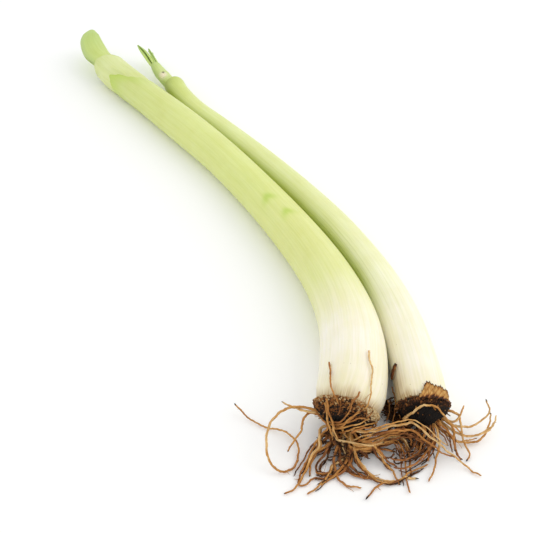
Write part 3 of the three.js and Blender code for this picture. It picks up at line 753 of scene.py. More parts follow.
def dry_finish(name, value, shades, bumpiness, grain_scale=1.6):
    """Dried plant skin: shades by one of the mesh's traits, fine lengthwise wrinkles, darker tips, dull."""
    finish = bpy.data.materials.new(name)
    finish.use_nodes = True
    tree = finish.node_tree
    shader = tree.nodes["Principled BSDF"]
    grain = trait_of(tree, "grain", "Vector")
    wrinkles = mottle(tree, grain, grain_scale, 4.0, 0.65)
    patches = mottle(tree, trait_of(tree, "place", "Vector"), 0.35, 3.0, 0.6)
    varied = wired(tree, "Math", {0: trait_of(tree, value), 1: fitted(tree, patches, 0.3, 0.7, -0.18, 0.18)},
                   operation="ADD").outputs[0]
    body_shade = ramped(tree, varied, shades)
    streaked = mixed(
        tree, 1.0, body_shade, ramped(tree, wrinkles, [(0.3, "9c8468"), (0.6, "ffffff")]), "MULTIPLY"
    )
    tipped = mixed(tree, trait_of(tree, "tip"), streaked, colour("2b1d12"))
    tree.links.new(tipped, shader.inputs["Base Color"])
    tree.links.new(fitted(tree, wrinkles, 0.3, 0.7, 0.9, 0.62), shader.inputs["Roughness"])
    shader.inputs["Specular IOR Level"].default_value = 0.25
    relief = wired(tree, "Bump", {"Height": wrinkles, "Strength": 0.8, "Distance": bumpiness * MM})
    tree.links.new(relief.outputs["Normal"], shader.inputs["Normal"])
    return finish


PLATE_SHADES = [(0.05, "150e08"), (0.45, "26180d"), (0.7, "55351a"), (0.9, "80532a"), (1.4, "dfcb9c")]
plate_finish = dry_finish("root_plate_dark", "tone", PLATE_SHADES, 0.5)
for name, node, stem, seed, freshness in (
    ("front_root_plate", "front_roots", front, 51, 0.6),
    ("back_root_plate", "back_roots", back, 53, 0),
):
    angle = rounds(PLATE_SIDES)
    reach = np.linspace(0, PLATE_REACH, PLATE_RINGS)[:, None]
    warts = 0.55 * sway(11 * angle, reach * 2.4, seed) + 0.45 * sway(29 * angle, reach * 6, seed + 1)
    across = stem.rim_radius * plate_share(reach) + PLATE_ROUGHNESS * warts
    centre = stem.plate.centre + (reach + 0.35)[..., None] * stem.plate.out
    level = SimpleNamespace(centre=centre, side=stem.plate.side, up=stem.plate.up)
    rings = point_round(level, across, across, angle)
    rings = rings + stem.plate.out * (PLATE_ROUGHNESS * warts * (reach > 1))[..., None]
    rings[..., 2] = np.maximum(rings[..., 2], TABLE_CLEARANCE)
    points, faces = skinned(rings)
    # partly painted shade: the tone darkens from the rim to nearly black towards the middle of the face, for
    # its own dark tissue and for the shade among the roots
    edge = 1 - reach / 6 + 0.25 * sway(7 * angle, reach, seed + 2)
    fresh_side = freshness * hump(np.degrees(angle) - FRESH_SIDE, FRESH_SPREAD)
    fresh_side = fresh_side * smooth_step(1.4 - reach / 5)
    lay_piece(name, points, faces, plate_finish, [node], {
        "tone": carried_over(np.clip(edge, 0, 0.9) + fresh_side),
        "tip": np.zeros(len(points)),
        "grain": points,
        "place": points,
    })

# The fuzz round the root ends.
# A ring of crumbly brown tissue between each sheath and its plate: corky grains, stubs of broken roots,
# and fine fibres that lie back over the sheath. It grew there and dried on.
GRAIN_COUNT = {"front": 2400, "back": 1300}
GRAIN_START, GRAIN_LEAST = -0.8, 1.2
GRAIN_REACH = {"front": 7.4, "back": 3.8}
GRAIN_DRYNESS = {"front": 0.2, "back": 0.6}
GRAIN_SIZE = (0.25, 0.8)
STUB_COUNT = {"front": 90, "back": 70}
STUB_LENGTH = (0.8, 3.2)
STUB_RADIUS = (0.25, 0.55)
STUB_REACH, STUB_DRYNESS, STUB_DARK_TIPS = 8.5, (0.1, 0.85), 0.4
FIBRE_COUNT = {"front": 60, "back": 60}
FIBRE_LENGTH = (0.8, 3.0)
FIBRE_RADIUS = (0.05, 0.09)


class Heap:
    """Many small bodies gathered into one mesh, each with its traits."""

    def __init__(self):
        self.points, self.faces, self.traits, self.count = [], [], [], 0

    def add(self, points, faces, **traits):
        self.points.append(points)
        self.faces += [[corner + self.count for corner in face] for face in faces]
        self.traits.append({
            key: np.broadcast_to(value, (len(points), *np.shape(value)[1:])) for key, value in traits.items()
        })
        self.count += len(points)

    def lay(self, name, finish, nodes):
        points = np.concatenate(self.points)
        points[:, 2] = np.maximum(points[:, 2], TABLE_CLEARANCE)
        joined = {key: np.concatenate([traits[key] for traits in self.traits]) for key in self.traits[0]}
        return lay_piece(name, points, self.faces, finish, nodes, {**joined, "place": points})


def tube_rings(path, radii, sides):
    """Rings along a path, turned as little as they can be."""
    along = unit(np.gradient(path, axis=0))
    aside = np.array([0, 0, 1.0]) if abs(along[0, 2]) < 0.9 else np.array([1.0, 0, 0])
    side = np.empty_like(path)
    for k, way in enumerate(along):
        aside = aside - way * (aside @ way)
        aside = aside / np.linalg.norm(aside)
        side[k] = aside
    place = SimpleNamespace(centre=path[:, None], side=side[:, None], up=np.cross(side, along)[:, None])
    size = np.asarray(radii, float)[:, None]
    return point_round(place, size, size, rounds(sides))


def add_fibre(heap, path, thick, thin, tone, tip, sides=5):
    """A small tapering fibre or stub, with a rounded end."""
    share = np.linspace(0, 1, len(path))
    radii = thick + (thin - thick) * share
    radii[-1] *= 0.55
    rings = tube_rings(path, radii, sides)
    points, faces = skinned(rings)
    run = np.linalg.norm(path - path[0], axis=1)
    grain = sheath_grain(rounds(sides), run[:, None] * 3 + tone * 90, thick * 2)
    ends = np.repeat(share[:, None] > 0.93, sides, 1) * tip
    heap.add(points, faces, tone=np.full(len(points), tone), tip=carried_over(ends.astype(float)),
             grain=carried_over(grain))


ball_faces = []
for k in range(5):
    ball_faces += [(0, 1 + k, 1 + (k + 1) % 5), (1 + k, 6 + k, 6 + (k + 1) % 5, 1 + (k + 1) % 5),
                   (11, 6 + (k + 1) % 5, 6 + k)]
ball_turns = rounds(5)
BALL = np.array([
    (0, 0, -1), *[(0.87 * math.cos(a), 0.87 * math.sin(a), -0.45) for a in ball_turns],
    *[(0.87 * math.cos(a), 0.87 * math.sin(a), 0.45) for a in ball_turns], (0, 0, 1),
])


def on_plate(stem, angle, reach, lift):
    radius = stem.rim_radius * plate_share(max(reach, 0)) + lift
    radial = math.cos(angle) * stem.plate.side + math.sin(angle) * stem.plate.up
    return stem.plate.centre + stem.plate.out * reach + radial * radius, radial


fuzz_finish = dry_finish("root_end_fuzz", "tone", [
    (0.0, "e0ca9a"), (0.2, "b57c3c"), (0.45, "8e5829"), (0.7, "57331a"), (1.0, "22140b")], 0.2, 3.0)
for name, node, stem, seed in (("front", "front_roots", front, 61), ("back", "back_roots", back, 67)):
    draw = np.random.default_rng(seed)
    heap = Heap()
    for _ in range(GRAIN_COUNT[name]):
        angle = draw.uniform(0, 2 * math.pi)
        highness = smooth_step((math.sin(angle) + 0.15) / 0.85)
        farthest = GRAIN_LEAST + (GRAIN_REACH[name] - GRAIN_LEAST) * highness
        reach = GRAIN_START + (farthest - GRAIN_START) * draw.uniform() ** 1.1
        spot, radial = on_plate(stem, angle, reach, draw.uniform(-0.2, 0.35))
        size = draw.uniform(*GRAIN_SIZE) * draw.uniform(0.6, 1.3, 3)
        fresh_side = 0.5 * hump(math.degrees(angle) - FRESH_SIDE, FRESH_SPREAD) if name == "front" else 0
        tone = np.clip(GRAIN_DRYNESS[name] - fresh_side + 0.07 * max(reach, 0) + draw.normal(0, 0.2), 0, 1)
        points = spot + BALL * size * draw.uniform(0.85, 1.15, (12, 1))
        heap.add(points, ball_faces, tone=np.full(12, tone), tip=np.zeros(12), grain=points * 2)
    for _ in range(STUB_COUNT[name]):
        angle = draw.uniform(0, 2 * math.pi)
        reach = STUB_REACH * draw.uniform() ** 1.3
        spot, radial = on_plate(stem, angle, reach, -0.5)
        leaning = radial * draw.uniform(0, 0.5) + stem.plate.out * draw.uniform(0.5, 1)
        heading = unit(leaning + draw.normal(0, 0.3, 3))
        length = draw.uniform(*STUB_LENGTH)
        bow = draw.normal(0, 0.25, 3)
        share = np.linspace(0, 1, 6)[:, None]
        path = spot + heading * length * share + bow * length * share**2
        thick = draw.uniform(*STUB_RADIUS)
        thin = thick * draw.uniform(0.6, 0.9)
        tone = draw.uniform(*STUB_DRYNESS)
        add_fibre(heap, path, thick, thin, tone, draw.uniform() < STUB_DARK_TIPS, 6)
    for _ in range(FIBRE_COUNT[name]):
        angle = draw.uniform(0, 2 * math.pi)
        length = draw.uniform(*FIBRE_LENGTH) * draw.uniform(0.5, 1)
        turn = draw.normal(0, 0.16)
        share = np.linspace(0, 1, 7)
        bearing = angle + turn * share
        distance = stem.rim_at(bearing) - 1 + length * share
        place = stem.at(distance)
        skin_radius = stem.rounded(distance, bearing, place.radius)
        lifted = skin_radius + 0.12 + draw.uniform(0, 0.5) * np.sin(2.2 * share)
        path = point_round(place, lifted, lifted, bearing)
        thick = draw.uniform(*FIBRE_RADIUS)
        add_fibre(heap, path, thick, thick * 0.5, draw.uniform(0, 0.35), 0.0)
    heap.lay(name + "_root_end_fuzz", fuzz_finish, [node])

# The roots.
# Each leek has kept its roots: knobbly dried strands, some with dark cut tips, golden where fresh and
# red-brown where dried. They grow out of the plate, droop onto the table and tangle with each other.
FRONT_STRANDS = [
    # The long loop on the left, and the short and the hanging one beside it
    [(-6, 1, 15), (-16, 9, 17), (-24, 11, 18), (-31, 10, 17.5), (-37, 6, 14.5), (-41, 0, 9.5),
     (-41, -6, 4.5), (-38, -11, 1.8), (-33, -11, 1.1), (-28, -8, 1.2), (-25, -3, 2), (-24, 3, 3),
     (-26, 9, 3), (-30, 14, 2), (-35, 19, 1.2), (-39, 25, 2), (-42, 30, 4), (-44, 34, 7)],
    [(-5, 1, 15), (-18, 9, 16), (-21, 11, 17), (-26, 16, 18.3)],
    [(-6, 1, 13), (-15, 7, 14.5), (-20, 4, 13), (-22, 1, 11), (-28, -1, 6), (-31, -3, 4)],
    # The two that cross in front of the back leek, and the pale one across the plate
    [(-3, -6, 13), (5, -14, 14), (13, -16, 15), (22, -18, 16), (28, -20, 16), (34, -30, 12), (39, -34, 7),
     (46, -44, 1.2), (49, -50, 1.1)],
    [(-1, -6, 11), (8, -15, 12), (19, -19, 14), (26, -22, 14), (31, -29, 11), (36, -34, 7), (42, -38, 4)],
    [(-5, -2, 12), (-9, -8, 10), (-3, -13, 9.5), (6, -18, 8), (13, -19, 8.5)],
    # The bundle that spreads to the left
    [(-5, -2, 11), (-11, 0, 10), (-14.5, -4, 8.5), (-16.5, -7.5, 6.5), (-21.5, -10.5, 5), (-25, -13.5, 3.5),
     (-29, -17, 2), (-34, -21, 1.2), (-38, -22, 1), (-41.5, -22.5, 1)],
    [(-6, -1, 10), (-14, -3, 6.5), (-18, -5.5, 5.2), (-23, -10, 3.6), (-27, -13, 2.6), (-30.5, -16.5, 1.6),
     (-33, -20, 1.2)],
    [(-3, -4, 9), (-9.5, -6.5, 6), (-13.5, -8, 5), (-16.5, -8.5, 4.4), (-20, -9.5, 3.8), (-24, -12.5, 3),
     (-26.5, -15, 2), (-30, -17.5, 1.2), (-32.5, -20, 1)],
    [(-1, -4, 9), (-5.5, -12, 6), (-6, -15.5, 4), (-8.5, -17, 3), (-13, -17.5, 2.2), (-17, -20.5, 1.6),
     (-21, -23.5, 1.2), (-26.5, -25.5, 1), (-31.5, -26.5, 1)],
    [(0, -5, 8), (-4.5, -15.5, 4.8), (-8.5, -19.5, 3), (-12.5, -21.5, 2), (-16.5, -23, 1.4), (-20.5, -24, 1),
     (-23.5, -25, 1)],
    [(1, -5, 7), (-3.5, -18, 3.4), (-8.5, -21.5, 2), (-13.5, -22.5, 1.4), (-17.5, -22, 1), (-21, -21.5, 1),
     (-24, -20, 1), (-28, -21, 1), (-31, -21.5, 1), (-33.5, -20.5, 1)],
    [(-5, -1, 9), (-13.5, -5.5, 5.5), (-18.5, -9, 4), (-23, -12.5, 2.6), (-24.5, -15.5, 1.6),
     (-26.5, -18, 1)],
    [(-3, -3, 10), (-12.5, -9, 5), (-16.5, -12, 3), (-21, -14.5, 1.8), (-22, -18, 1.2), (-19.5, -19.5, 1),
     (-16, -19.5, 1.2), (-13, -17, 1.8)],
    # Those that run forwards and to the right along the table
    [(1, -5, 10), (-1, -15, 6.5), (-2, -19.5, 5), (-1.5, -23.5, 4), (-0.5, -26.5, 3), (1, -29.5, 2),
     (3.5, -33, 1.2), (7.5, -35.5, 1), (11.5, -36.5, 1), (15.5, -36, 1.4), (20, -35, 1.6),
     (24.5, -34.5, 1.4), (29.5, -34.5, 1.2)],
    [(-1, -4, 7), (-9.5, -17, 3), (-8.5, -21.5, 2), (-7, -25.5, 1.4), (-3.5, -28.5, 1), (-1, -30, 1),
     (1, -32, 1)],
    [(1, -5, 7), (-5.5, -18.5, 3.6), (-5.5, -23, 2.2), (-3.5, -26.5, 1.4), (-1, -29.5, 1), (2, -31, 1)],
    [(-1, -4, 9.5), (-12, -15.5, 3.4), (-14, -21, 1.8), (-14, -26, 1), (-12.5, -29.5, 1), (-10, -31.5, 1),
     (-6.5, -33.5, 1)],
    [(5, -6, 9), (8, -18.5, 7.5), (9, -23, 5), (9.5, -26, 3.4), (11, -29, 2), (11.5, -32, 1.2), (11, -36, 1),
     (11, -39, 1)],
    [(5, -6, 8), (8.5, -20, 7), (10, -23, 5), (11.5, -26, 3.4), (13.5, -29, 2.2), (14.5, -30.5, 1.6)],
    # The sheaf that reaches across to the back leek
    [(1, -6, 11), (-1.5, -13.5, 8.6), (2.5, -16, 8), (6.5, -17, 8), (11, -17, 8), (16, -17, 8),
     (20.5, -18, 7.5), (23.5, -19, 6.5), (24.5, -22, 5), (24, -25, 3.4)],
    [(1, -5, 10), (-3, -14, 7), (1, -17, 6.5), (5.5, -18, 7), (11, -18, 7), (16, -18.5, 7), (20, -19, 6.2),
     (21, -22, 5.2), (20.5, -25.5, 4), (19, -30, 3), (17, -34, 2), (14.5, -39.5, 1), (13, -45, 1)],
    [(2, -5, 9), (0.5, -16.5, 5.6), (5, -18, 5), (10, -19, 4.6), (13.5, -20.5, 4.2), (16, -23, 4)],
    [(2, -6, 11), (2.5, -14, 8.8), (7, -16, 9.2), (12, -16.5, 9.6), (17, -16.5, 10), (21.5, -17.5, 10),
     (25, -17.5, 9.4), (26, -20, 8), (26, -23, 6.6), (25.5, -24.5, 6)],
    # Two side roots of the first one that runs forwards
    [(11.5, -36.5, 1), (8.5, -37, 1), (5, -35.5, 1), (1, -35.5, 1), (-3, -37, 1), (-8, -40.5, 1)],
    [(14.5, -36, 1.4), (17.5, -38, 1), (21, -39.5, 1)],
]
# Dried roots that lie back along the front stem: distance along it, angle round it, height above it
FRONT_CLINGING = [
    [(16, 131, 0.95), (3.5, 121, 1), (-4.5, 113, 0.9), (-8, 104, -2), (-9, 100, -7)],
    [(23.5, 69, 0.95), (18.5, 67, 1), (12.5, 61, 1), (6, 57, 1), (-1, 53, 0.9), (-6.5, 49, -1), (-8, 50, -6)],
    [(-3, 71, 1.4), (-8, 75, 0), (-9.5, 80, -7)],
]
BACK_STRANDS = [
    # The arch over the plate
    [(33, -8, 10), (27, -13.5, 13), (29.5, -15, 18), (32.5, -16, 21), (36, -17, 22.8), (40, -18.5, 21.8),
     (43, -20, 18), (47, -23, 12), (52, -28, 6)],
    # The fan that curls up on the right
    [(43, -12, 9), (49, -24, 6), (56, -30, 4.6), (65, -31, 6), (69, -30, 8), (72, -27, 10)],
    [(45, -12, 10), (51, -23, 7.4), (56, -25, 6.4), (62, -26, 7), (70, -24, 11), (70.5, -19, 14)],
    [(41, -13, 8), (48, -28, 3.6), (53, -31, 2.6), (61, -32, 2.4), (69, -27, 6.5), (71, -24, 9)],
    [(46, -13.5, 11.5), (52, -18, 12), (54, -21, 11), (53, -25, 8), (51, -31, 4.5), (51, -37, 1.8),
     (47, -40, 1)],
    [(43, -13, 8), (50, -22, 10), (55, -21, 12), (59, -17, 13)],
    # Those that run down to the front
    [(41, -14, 9), (40.5, -22.5, 9), (39.5, -26.5, 7), (37, -30.5, 5), (33, -35, 3.4), (29, -39, 2),
     (24.5, -43, 1)],
    [(43, -13, 10), (43, -22, 11), (44.5, -25.5, 9.6), (45, -29, 8), (44.5, -32.5, 6.4), (43.5, -35.5, 5.2)],
    [(44, -12, 10), (47.5, -23, 10), (48, -26.5, 8), (46, -30, 6), (45, -33, 4), (45, -36, 2.4),
     (46, -38.5, 1)],
    # Those that sweep round to the left under the front leek
    [(38, -13, 10), (40, -19, 9.5), (39, -22, 8), (37, -25, 7), (34, -28, 5.8), (29, -31, 4.8),
     (24.5, -32.5, 4.2), (18.5, -33.5, 3.8), (14.5, -33, 3.6), (12, -30, 3.4)],
    [(37, -13, 9), (37.5, -19.5, 9), (36.5, -23, 7.6), (33.5, -26, 6), (29, -28.5, 4.8), (24, -29.5, 4.8),
     (19.5, -30.5, 5.6), (15, -29, 5.4), (12.5, -26, 4.6)],
    [(35, -12, 8), (35.5, -17.5, 9), (35, -20.5, 8), (32, -23.5, 6.6), (30, -26, 5.4), (26.5, -28.5, 4.4),
     (23, -28.5, 4)],
    [(39, -13, 8), (38.5, -19, 8.6), (38, -21.5, 7.4), (35.5, -24.5, 5.6), (32.5, -28.5, 4.4),
     (31, -31.5, 3.6), (29, -34, 3.4)],
    [(36, -12, 8), (32.5, -19, 8), (28.5, -23, 7.4), (24.5, -26.5, 6.8), (21.5, -27.5, 6.6), (18, -28, 6.4)],
]
# How dry each of these roots is: 0 is pale and fresh, and 1 is dark and dried up. The darker values of
# roots that lie in shade, such as the fifth front one, are partly painted shade.
FRONT_DRYNESS_AND_SHADE = [
    0.25, 0.15, 0.4, 0.1, 0.6, 0, 0.15, 0.4, 0.3, 0.05, 0.3, 0.45, 0.3, 0.55, 0.1, 0.55, 0.6, 0.4, 0.25, 0.5,
    0.1, 0.4, 0.55, 0.5, 0.55, 0,
]
BACK_DRYNESS_AND_SHADE = [0.2, 0, 0.05, 0.1, 0.25, 0.2, 0.25, 0.55, 0.5, 0.5, 0.8, 0.55, 0.5, 0.8]
CLINGING_DRYNESS = [0.6, 0.12, 0.55]
# Thinner roots that lie across the front plate's face and end at its edge, and those that hang in the gap
# between the two stems
FACE_STRANDS = [
    [(-6.5, -6, 17), (-5.5, -8.2, 19), (-3, -10.6, 21), (1, -12.2, 23), (6, -12.4, 22.5),
     (10, -11.4, 24.5)],
    [(-8.5, -4, 15), (-7.5, -6.8, 17), (-5, -9.8, 20.5), (-2, -10.9, 23.5), (1.5, -11, 26),
     (5, -10, 26)],
    [(-9, -3, 16), (-8.5, -5.3, 18), (-7, -8.8, 20.5), (-4, -9.8, 25), (-1.5, -9.2, 29.5),
     (0.5, -6.5, 31.5)],
    [(-5, -5.5, 9), (-4.5, -9.4, 13.5), (-3, -12.4, 17), (0.5, -12.9, 18.5), (6, -13.6, 18.5),
     (10.5, -12.5, 16), (14, -9.5, 13)],
    [(-5, -9, 15.5), (-3, -9.4, 10), (-1.5, -10.8, 8.5), (0, -12.8, 9.5), (2, -15, 13), (5, -16, 14),
     (10, -15, 12)],
    [(-8, -6.5, 14.5), (-6, -9.8, 17), (-3.5, -11.2, 19), (0.5, -12.9, 20.5), (4, -13.2, 21),
     (8, -12.5, 22)],
    [(-9, -6, 20), (-9.5, -8.8, 16), (-8, -9.8, 11), (-5, -11, 7), (-2, -14, 6), (2, -18, 6),
     (7, -20, 5)],
    [(-6, -6, 8), (-3, -10.4, 6), (0.5, -13.4, 8), (4, -16, 12), (9, -17, 14)],
    [(-10, 0.5, 26.5), (-10.2, -2.8, 21), (-11, -6.8, 17), (-9.5, -8.4, 10), (-8, -8.4, 4)],
    [(-11, 8, 13), (-12.4, 2, 17.5), (-11.4, -2.8, 16.5), (-11.8, -6.8, 16), (-13.4, -5, 12),
     (-13.4, -2.5, 7), (-11, -1.5, 3)],
    [(-9.5, 0.5, 29), (-9.8, -3.4, 24), (-9.6, -6.4, 20.5), (-9.2, -8.6, 16)],
    [(-7, -6.5, 15), (-5, -9.9, 19), (-3.2, -10.9, 23), (-0.5, -11.2, 25.8), (4, -10.2, 25)],
    [(-3, -14, 17), (2.5, -13.6, 17.5), (6.5, -13.9, 16.5), (11, -11.4, 12), (14.5, -8.4, 8)],
]
GAP_STRANDS = [
    [(35, 11.5, 8), (33, 6, 8.6), (30.5, 0.5, 9), (27, -5, 8.8), (22.4, -10.3, 8)],
    [(33, 4.5, 9.4), (30.5, -0.5, 9.6), (27.8, -9, 8)],
    [(33.7, 1.2, 9), (30.5, -2.4, 8.8), (27.1, -5.2, 8)],
    [(28, 3.6, 9), (26, -1.5, 8), (20.4, -8.3, 6)],
]
STRAND_RADIUS, CLINGING_RADIUS = 0.7, 0.5
ROOT_TIP_SHARE = 0.55
KNOB_DEPTH = 0.16
RING_STEP = 0.8
SPINE_STEP, SPINE_START, SPINE_COUNT = 2, -4, 60

for stem in (front, back):
    stem.spine = stem.at(np.arange(SPINE_COUNT) * SPINE_STEP + SPINE_START)


def spots_on(path):
    """Places every millimetre or so along a root."""
    spots = []
    for start, stop in zip(path, path[1:]):
        count = math.ceil(np.linalg.norm(stop - start))
        spots.append(start + (stop - start) * np.linspace(0, 1, count + 1)[:, None])
    return np.concatenate(spots)


def space_to_stem(stem, spots):
    """Clear space between spots and a stem or its plate."""
    past = (spots - stem.plate.centre) @ stem.plate.out
    axis = stem.plate.centre + stem.plate.out * past[:, None]
    off_axis = np.linalg.norm(spots - axis, axis=1)
    ahead = np.maximum(off_axis - stem.rim_radius * plate_share(past), past - PLATE_REACH)
    beside = np.linalg.norm(spots[:, None] - stem.spine.centre, axis=2) - stem.spine.radius
    return np.where(past > 0, ahead, beside.min(1))


def smoothed(points):
    return smooth_line(points)(np.linspace(0, 1, 2 * len(points) - 1))


clinging_roots = []
for places in FRONT_CLINGING:
    distance, degrees, height = np.array(places, float).T
    place = front.at(distance)
    radius = place.radius + height
    angle = np.radians(degrees)
    beside = (radius * np.cos(angle))[:, None] * place.side
    path = place.centre + beside + (radius * np.sin(angle))[:, None] * place.up
    clinging_roots.append((smoothed(path), CLINGING_RADIUS))
front_roots = [(smoothed(points), STRAND_RADIUS) for points in FRONT_STRANDS] + clinging_roots
back_roots = [(smoothed(points), STRAND_RADIUS) for points in BACK_STRANDS]
low_corner, high_corner = (np.array(corner) / MM + FOOTPRINT_MIDDLE for corner in cad_box)

# Short dark roots matted together: under the front plate, in front of it, before the back plate and in
# the gap between the stems. Their near-black tone is partly painted shade in the depths of the tangle.
# Each heap has its count, its middle and its spread.
MATTED = [
    (60, (-7, -7, 7), (2.8, 1.8, 2)), (60, (0, -15, 4.5), (5, 2.4, 1.7)), (35, (24, -22, 4.5), (5, 3, 1.6)),
    (90, (29.3, -1, 2.4), (1.7, 5.5, 1.2)), (45, (29, -14, 5), (3.2, 2.6, 2.2)),
]
MATTED_STEPS, MATTED_STRIDE, MATTED_RADIUS, MATTED_HIGHEST = 5, (0.8, 1.6), (0.3, 0.6), 12
MATTED_DRYNESS_AND_SHADE, MATTED_SPACE = (0.75, 1.15), 0.8
# Thinner roots that keep company with a strand: the strand, and how many
FRONT_COMPANY = [
    (3, 1), (4, 1), (6, 1), (7, 2), (8, 1), (9, 1), (11, 1), (13, 1), (14, 1), (15, 1), (19, 1), (20, 3),
    (21, 3), (22, 2), (23, 3),
]
BACK_COMPANY = [(1, 1), (3, 1), (7, 1), (9, 1), (10, 2), (11, 1), (12, 1), (13, 2)]
COMPANY_OFFSET, COMPANY_DRIFT = (1.0, 2.4), 1.1
COMPANY_RADIUS, COMPANY_DRIER, COMPANY_SPACE, COMPANY_TRIES = (0.35, 0.55), (0, 0.25), 0.9, 20
# Darker roots that lie lower in the tangle, beside these strands; their dark tone is partly painted shade low
# in the tangle
FRONT_BELOW = [4, 7, 8, 9, 10, 11, 12, 13, 14, 15, 16, 19, 20, 21, 22, 23]
BACK_BELOW = [7, 8, 9, 10, 11, 12, 13]
BELOW_EACH, BELOW_LOWERED, BELOW_LOWEST = 2, 0.62, 0.7
BELOW_RADIUS, BELOW_DRYNESS_AND_SHADE = (0.35, 0.65), (0.6, 0.95)
FACE_RADIUS, FACE_DRYNESS = (0.42, 0.62), (0.3, 0.7)
GAP_RADIUS, GAP_DRYNESS = (0.3, 0.42), (0.4, 0.6)
STOUT_DARK_TIPS, THIN_DARK_TIPS = 0.35, 0.4
# Side roots for each millimetre of a root, and how dry a thin root may be to bear any
STOUT_ROOTLETS, THIN_ROOTLETS, ROOTLET_DRIEST = 0.014, 0.01, 0.6


def root_tube(heap, path, radius, tone, draw, tip, sides, wander=0.35):
    """A knobbly root along a path, without its rootlets."""
    line = smooth_line(path)
    rough = line(np.linspace(0, 1, 60))
    length = np.linalg.norm(np.diff(rough, axis=0), axis=1).sum()
    count = max(int(length / RING_STEP), 6)
    share = np.linspace(0, 1, count)
    run = share * length
    settled = np.minimum(1, 6 * share)[:, None]
    sways = np.stack([sum(np.sin(run / width * FULL_TURN + draw.uniform(0, FULL_TURN)) * size
                          for width, size in ((13, 0.55), (6.1, 0.3), (2.7, 0.15))) for _ in range(3)], -1)
    path = line(share) + wander * settled * sways
    knobs = 1 + KNOB_DEPTH * sum(np.sin(run / width * FULL_TURN + draw.uniform(0, FULL_TURN)) * size
                                 for width, size in ((3.7, 0.5), (2.1, 0.4), (1.3, 0.3)))
    taper = 1 + (ROOT_TIP_SHARE - 1) * share
    blunt = np.sqrt(np.clip((length - run) / 0.8, 0.08, 1))
    radii = radius * knobs * taper * blunt
    path[:, 2] = np.maximum(path[:, 2], radii + TABLE_CLEARANCE)
    rings = tube_rings(path, radii, sides)
    points, faces = skinned(rings)
    grain = sheath_grain(rounds(sides), run[:, None] * 4 + draw.uniform(0, 900), radius * 2.2)
    dark = np.clip((share * length - length + 1.6 + draw.uniform(-0.6, 0.8)) / 0.9, 0, 1) * tip
    patchy = 0.12 * np.sin(run / 9 + draw.uniform(0, FULL_TURN))
    # the tone, with patches along the root, made darker and redder where a root lies within 8 mm of the table
    tone_darker_low = tone + patchy + 0.18 * smooth_step(1 - path[:, 2] / 8)
    heap.add(points, faces, tone=carried_over(np.repeat(np.clip(tone_darker_low, 0, 1)[:, None], sides, 1)),
             tip=carried_over(np.repeat(dark[:, None], sides, 1)), grain=carried_over(grain))
    return path, radii


def add_rootlets(heap, path, radii, tone, draw, per_mm):
    """Fine side roots that branch off a root."""
    length = np.linalg.norm(np.diff(path, axis=0), axis=1).sum()
    for _ in range(draw.poisson(length * per_mm)):
        k = draw.integers(3, len(path) - 3)
        way = unit(path[k + 1] - path[k - 1])
        aside = draw.normal(0, 1, 3)
        aside = unit(aside - way * (aside @ way))
        reach = draw.uniform(1.5, 5.5)
        share = np.linspace(0, 1, 8)[:, None]
        bow = draw.normal(0, 0.35, 3)
        droop = (bow - np.array([0, 0, 0.3])) * share**2
        spots = path[k] + reach * (unit(aside * 0.8 + way * 0.7) * share + droop)
        thick = min(draw.uniform(0.12, 0.24), radii[k] * 0.6)
        spots[:, 2] = np.maximum(spots[:, 2], thick + TABLE_CLEARANCE)
        spots = np.clip(spots, low_corner + 0.4, high_corner - 0.4)
        add_fibre(heap, spots, thick, thick * 0.55, tone, 1.0)


def company(path, draw):
    """A path that leaves with another, runs beside it and ends somewhere along it or a little past it."""
    line = smooth_line(path)
    share = np.linspace(0, draw.uniform(0.55, 0.98), 12)
    offset = draw.normal(0, 1, 3) * (1, 1, 0.6)
    offset = offset / np.linalg.norm(offset) * draw.uniform(*COMPANY_OFFSET)
    drift = draw.normal(0, COMPANY_DRIFT, 3) * (1, 1, 0.4)
    spots = line(share) + offset * smooth_step(share * 3)[:, None] + drift * (share**2)[:, None]
    return np.clip(spots, low_corner + 0.6, high_corner - 0.6)


def matted_roots(draw):
    """Short curly roots in each of the heaps, clear of both stems."""
    paths = []
    for count, middle, half in MATTED:
        wanted = len(paths) + count
        while len(paths) < wanted:
            spot = np.array(middle) + np.array(half) * draw.normal(0, 1, 3)
            bearing, bend = draw.uniform(0, 2 * math.pi), draw.normal(0, 0.4)
            stride = draw.uniform(*MATTED_STRIDE)
            path = [spot]
            for _ in range(MATTED_STEPS):
                bearing += bend + draw.normal(0, 0.2)
                way = np.array([math.cos(bearing), math.sin(bearing), draw.normal(0, 0.35)])
                spot = spot + stride * way
                spot[2] = np.clip(spot[2], 0.6, MATTED_HIGHEST)
                path.append(spot)
            path = np.array(path)
            spots = spots_on(path)
            if min(space_to_stem(stem, spots).min() for stem in (front, back)) > MATTED_SPACE:
                paths.append((path, draw.uniform(*MATTED_RADIUS)))
    return paths


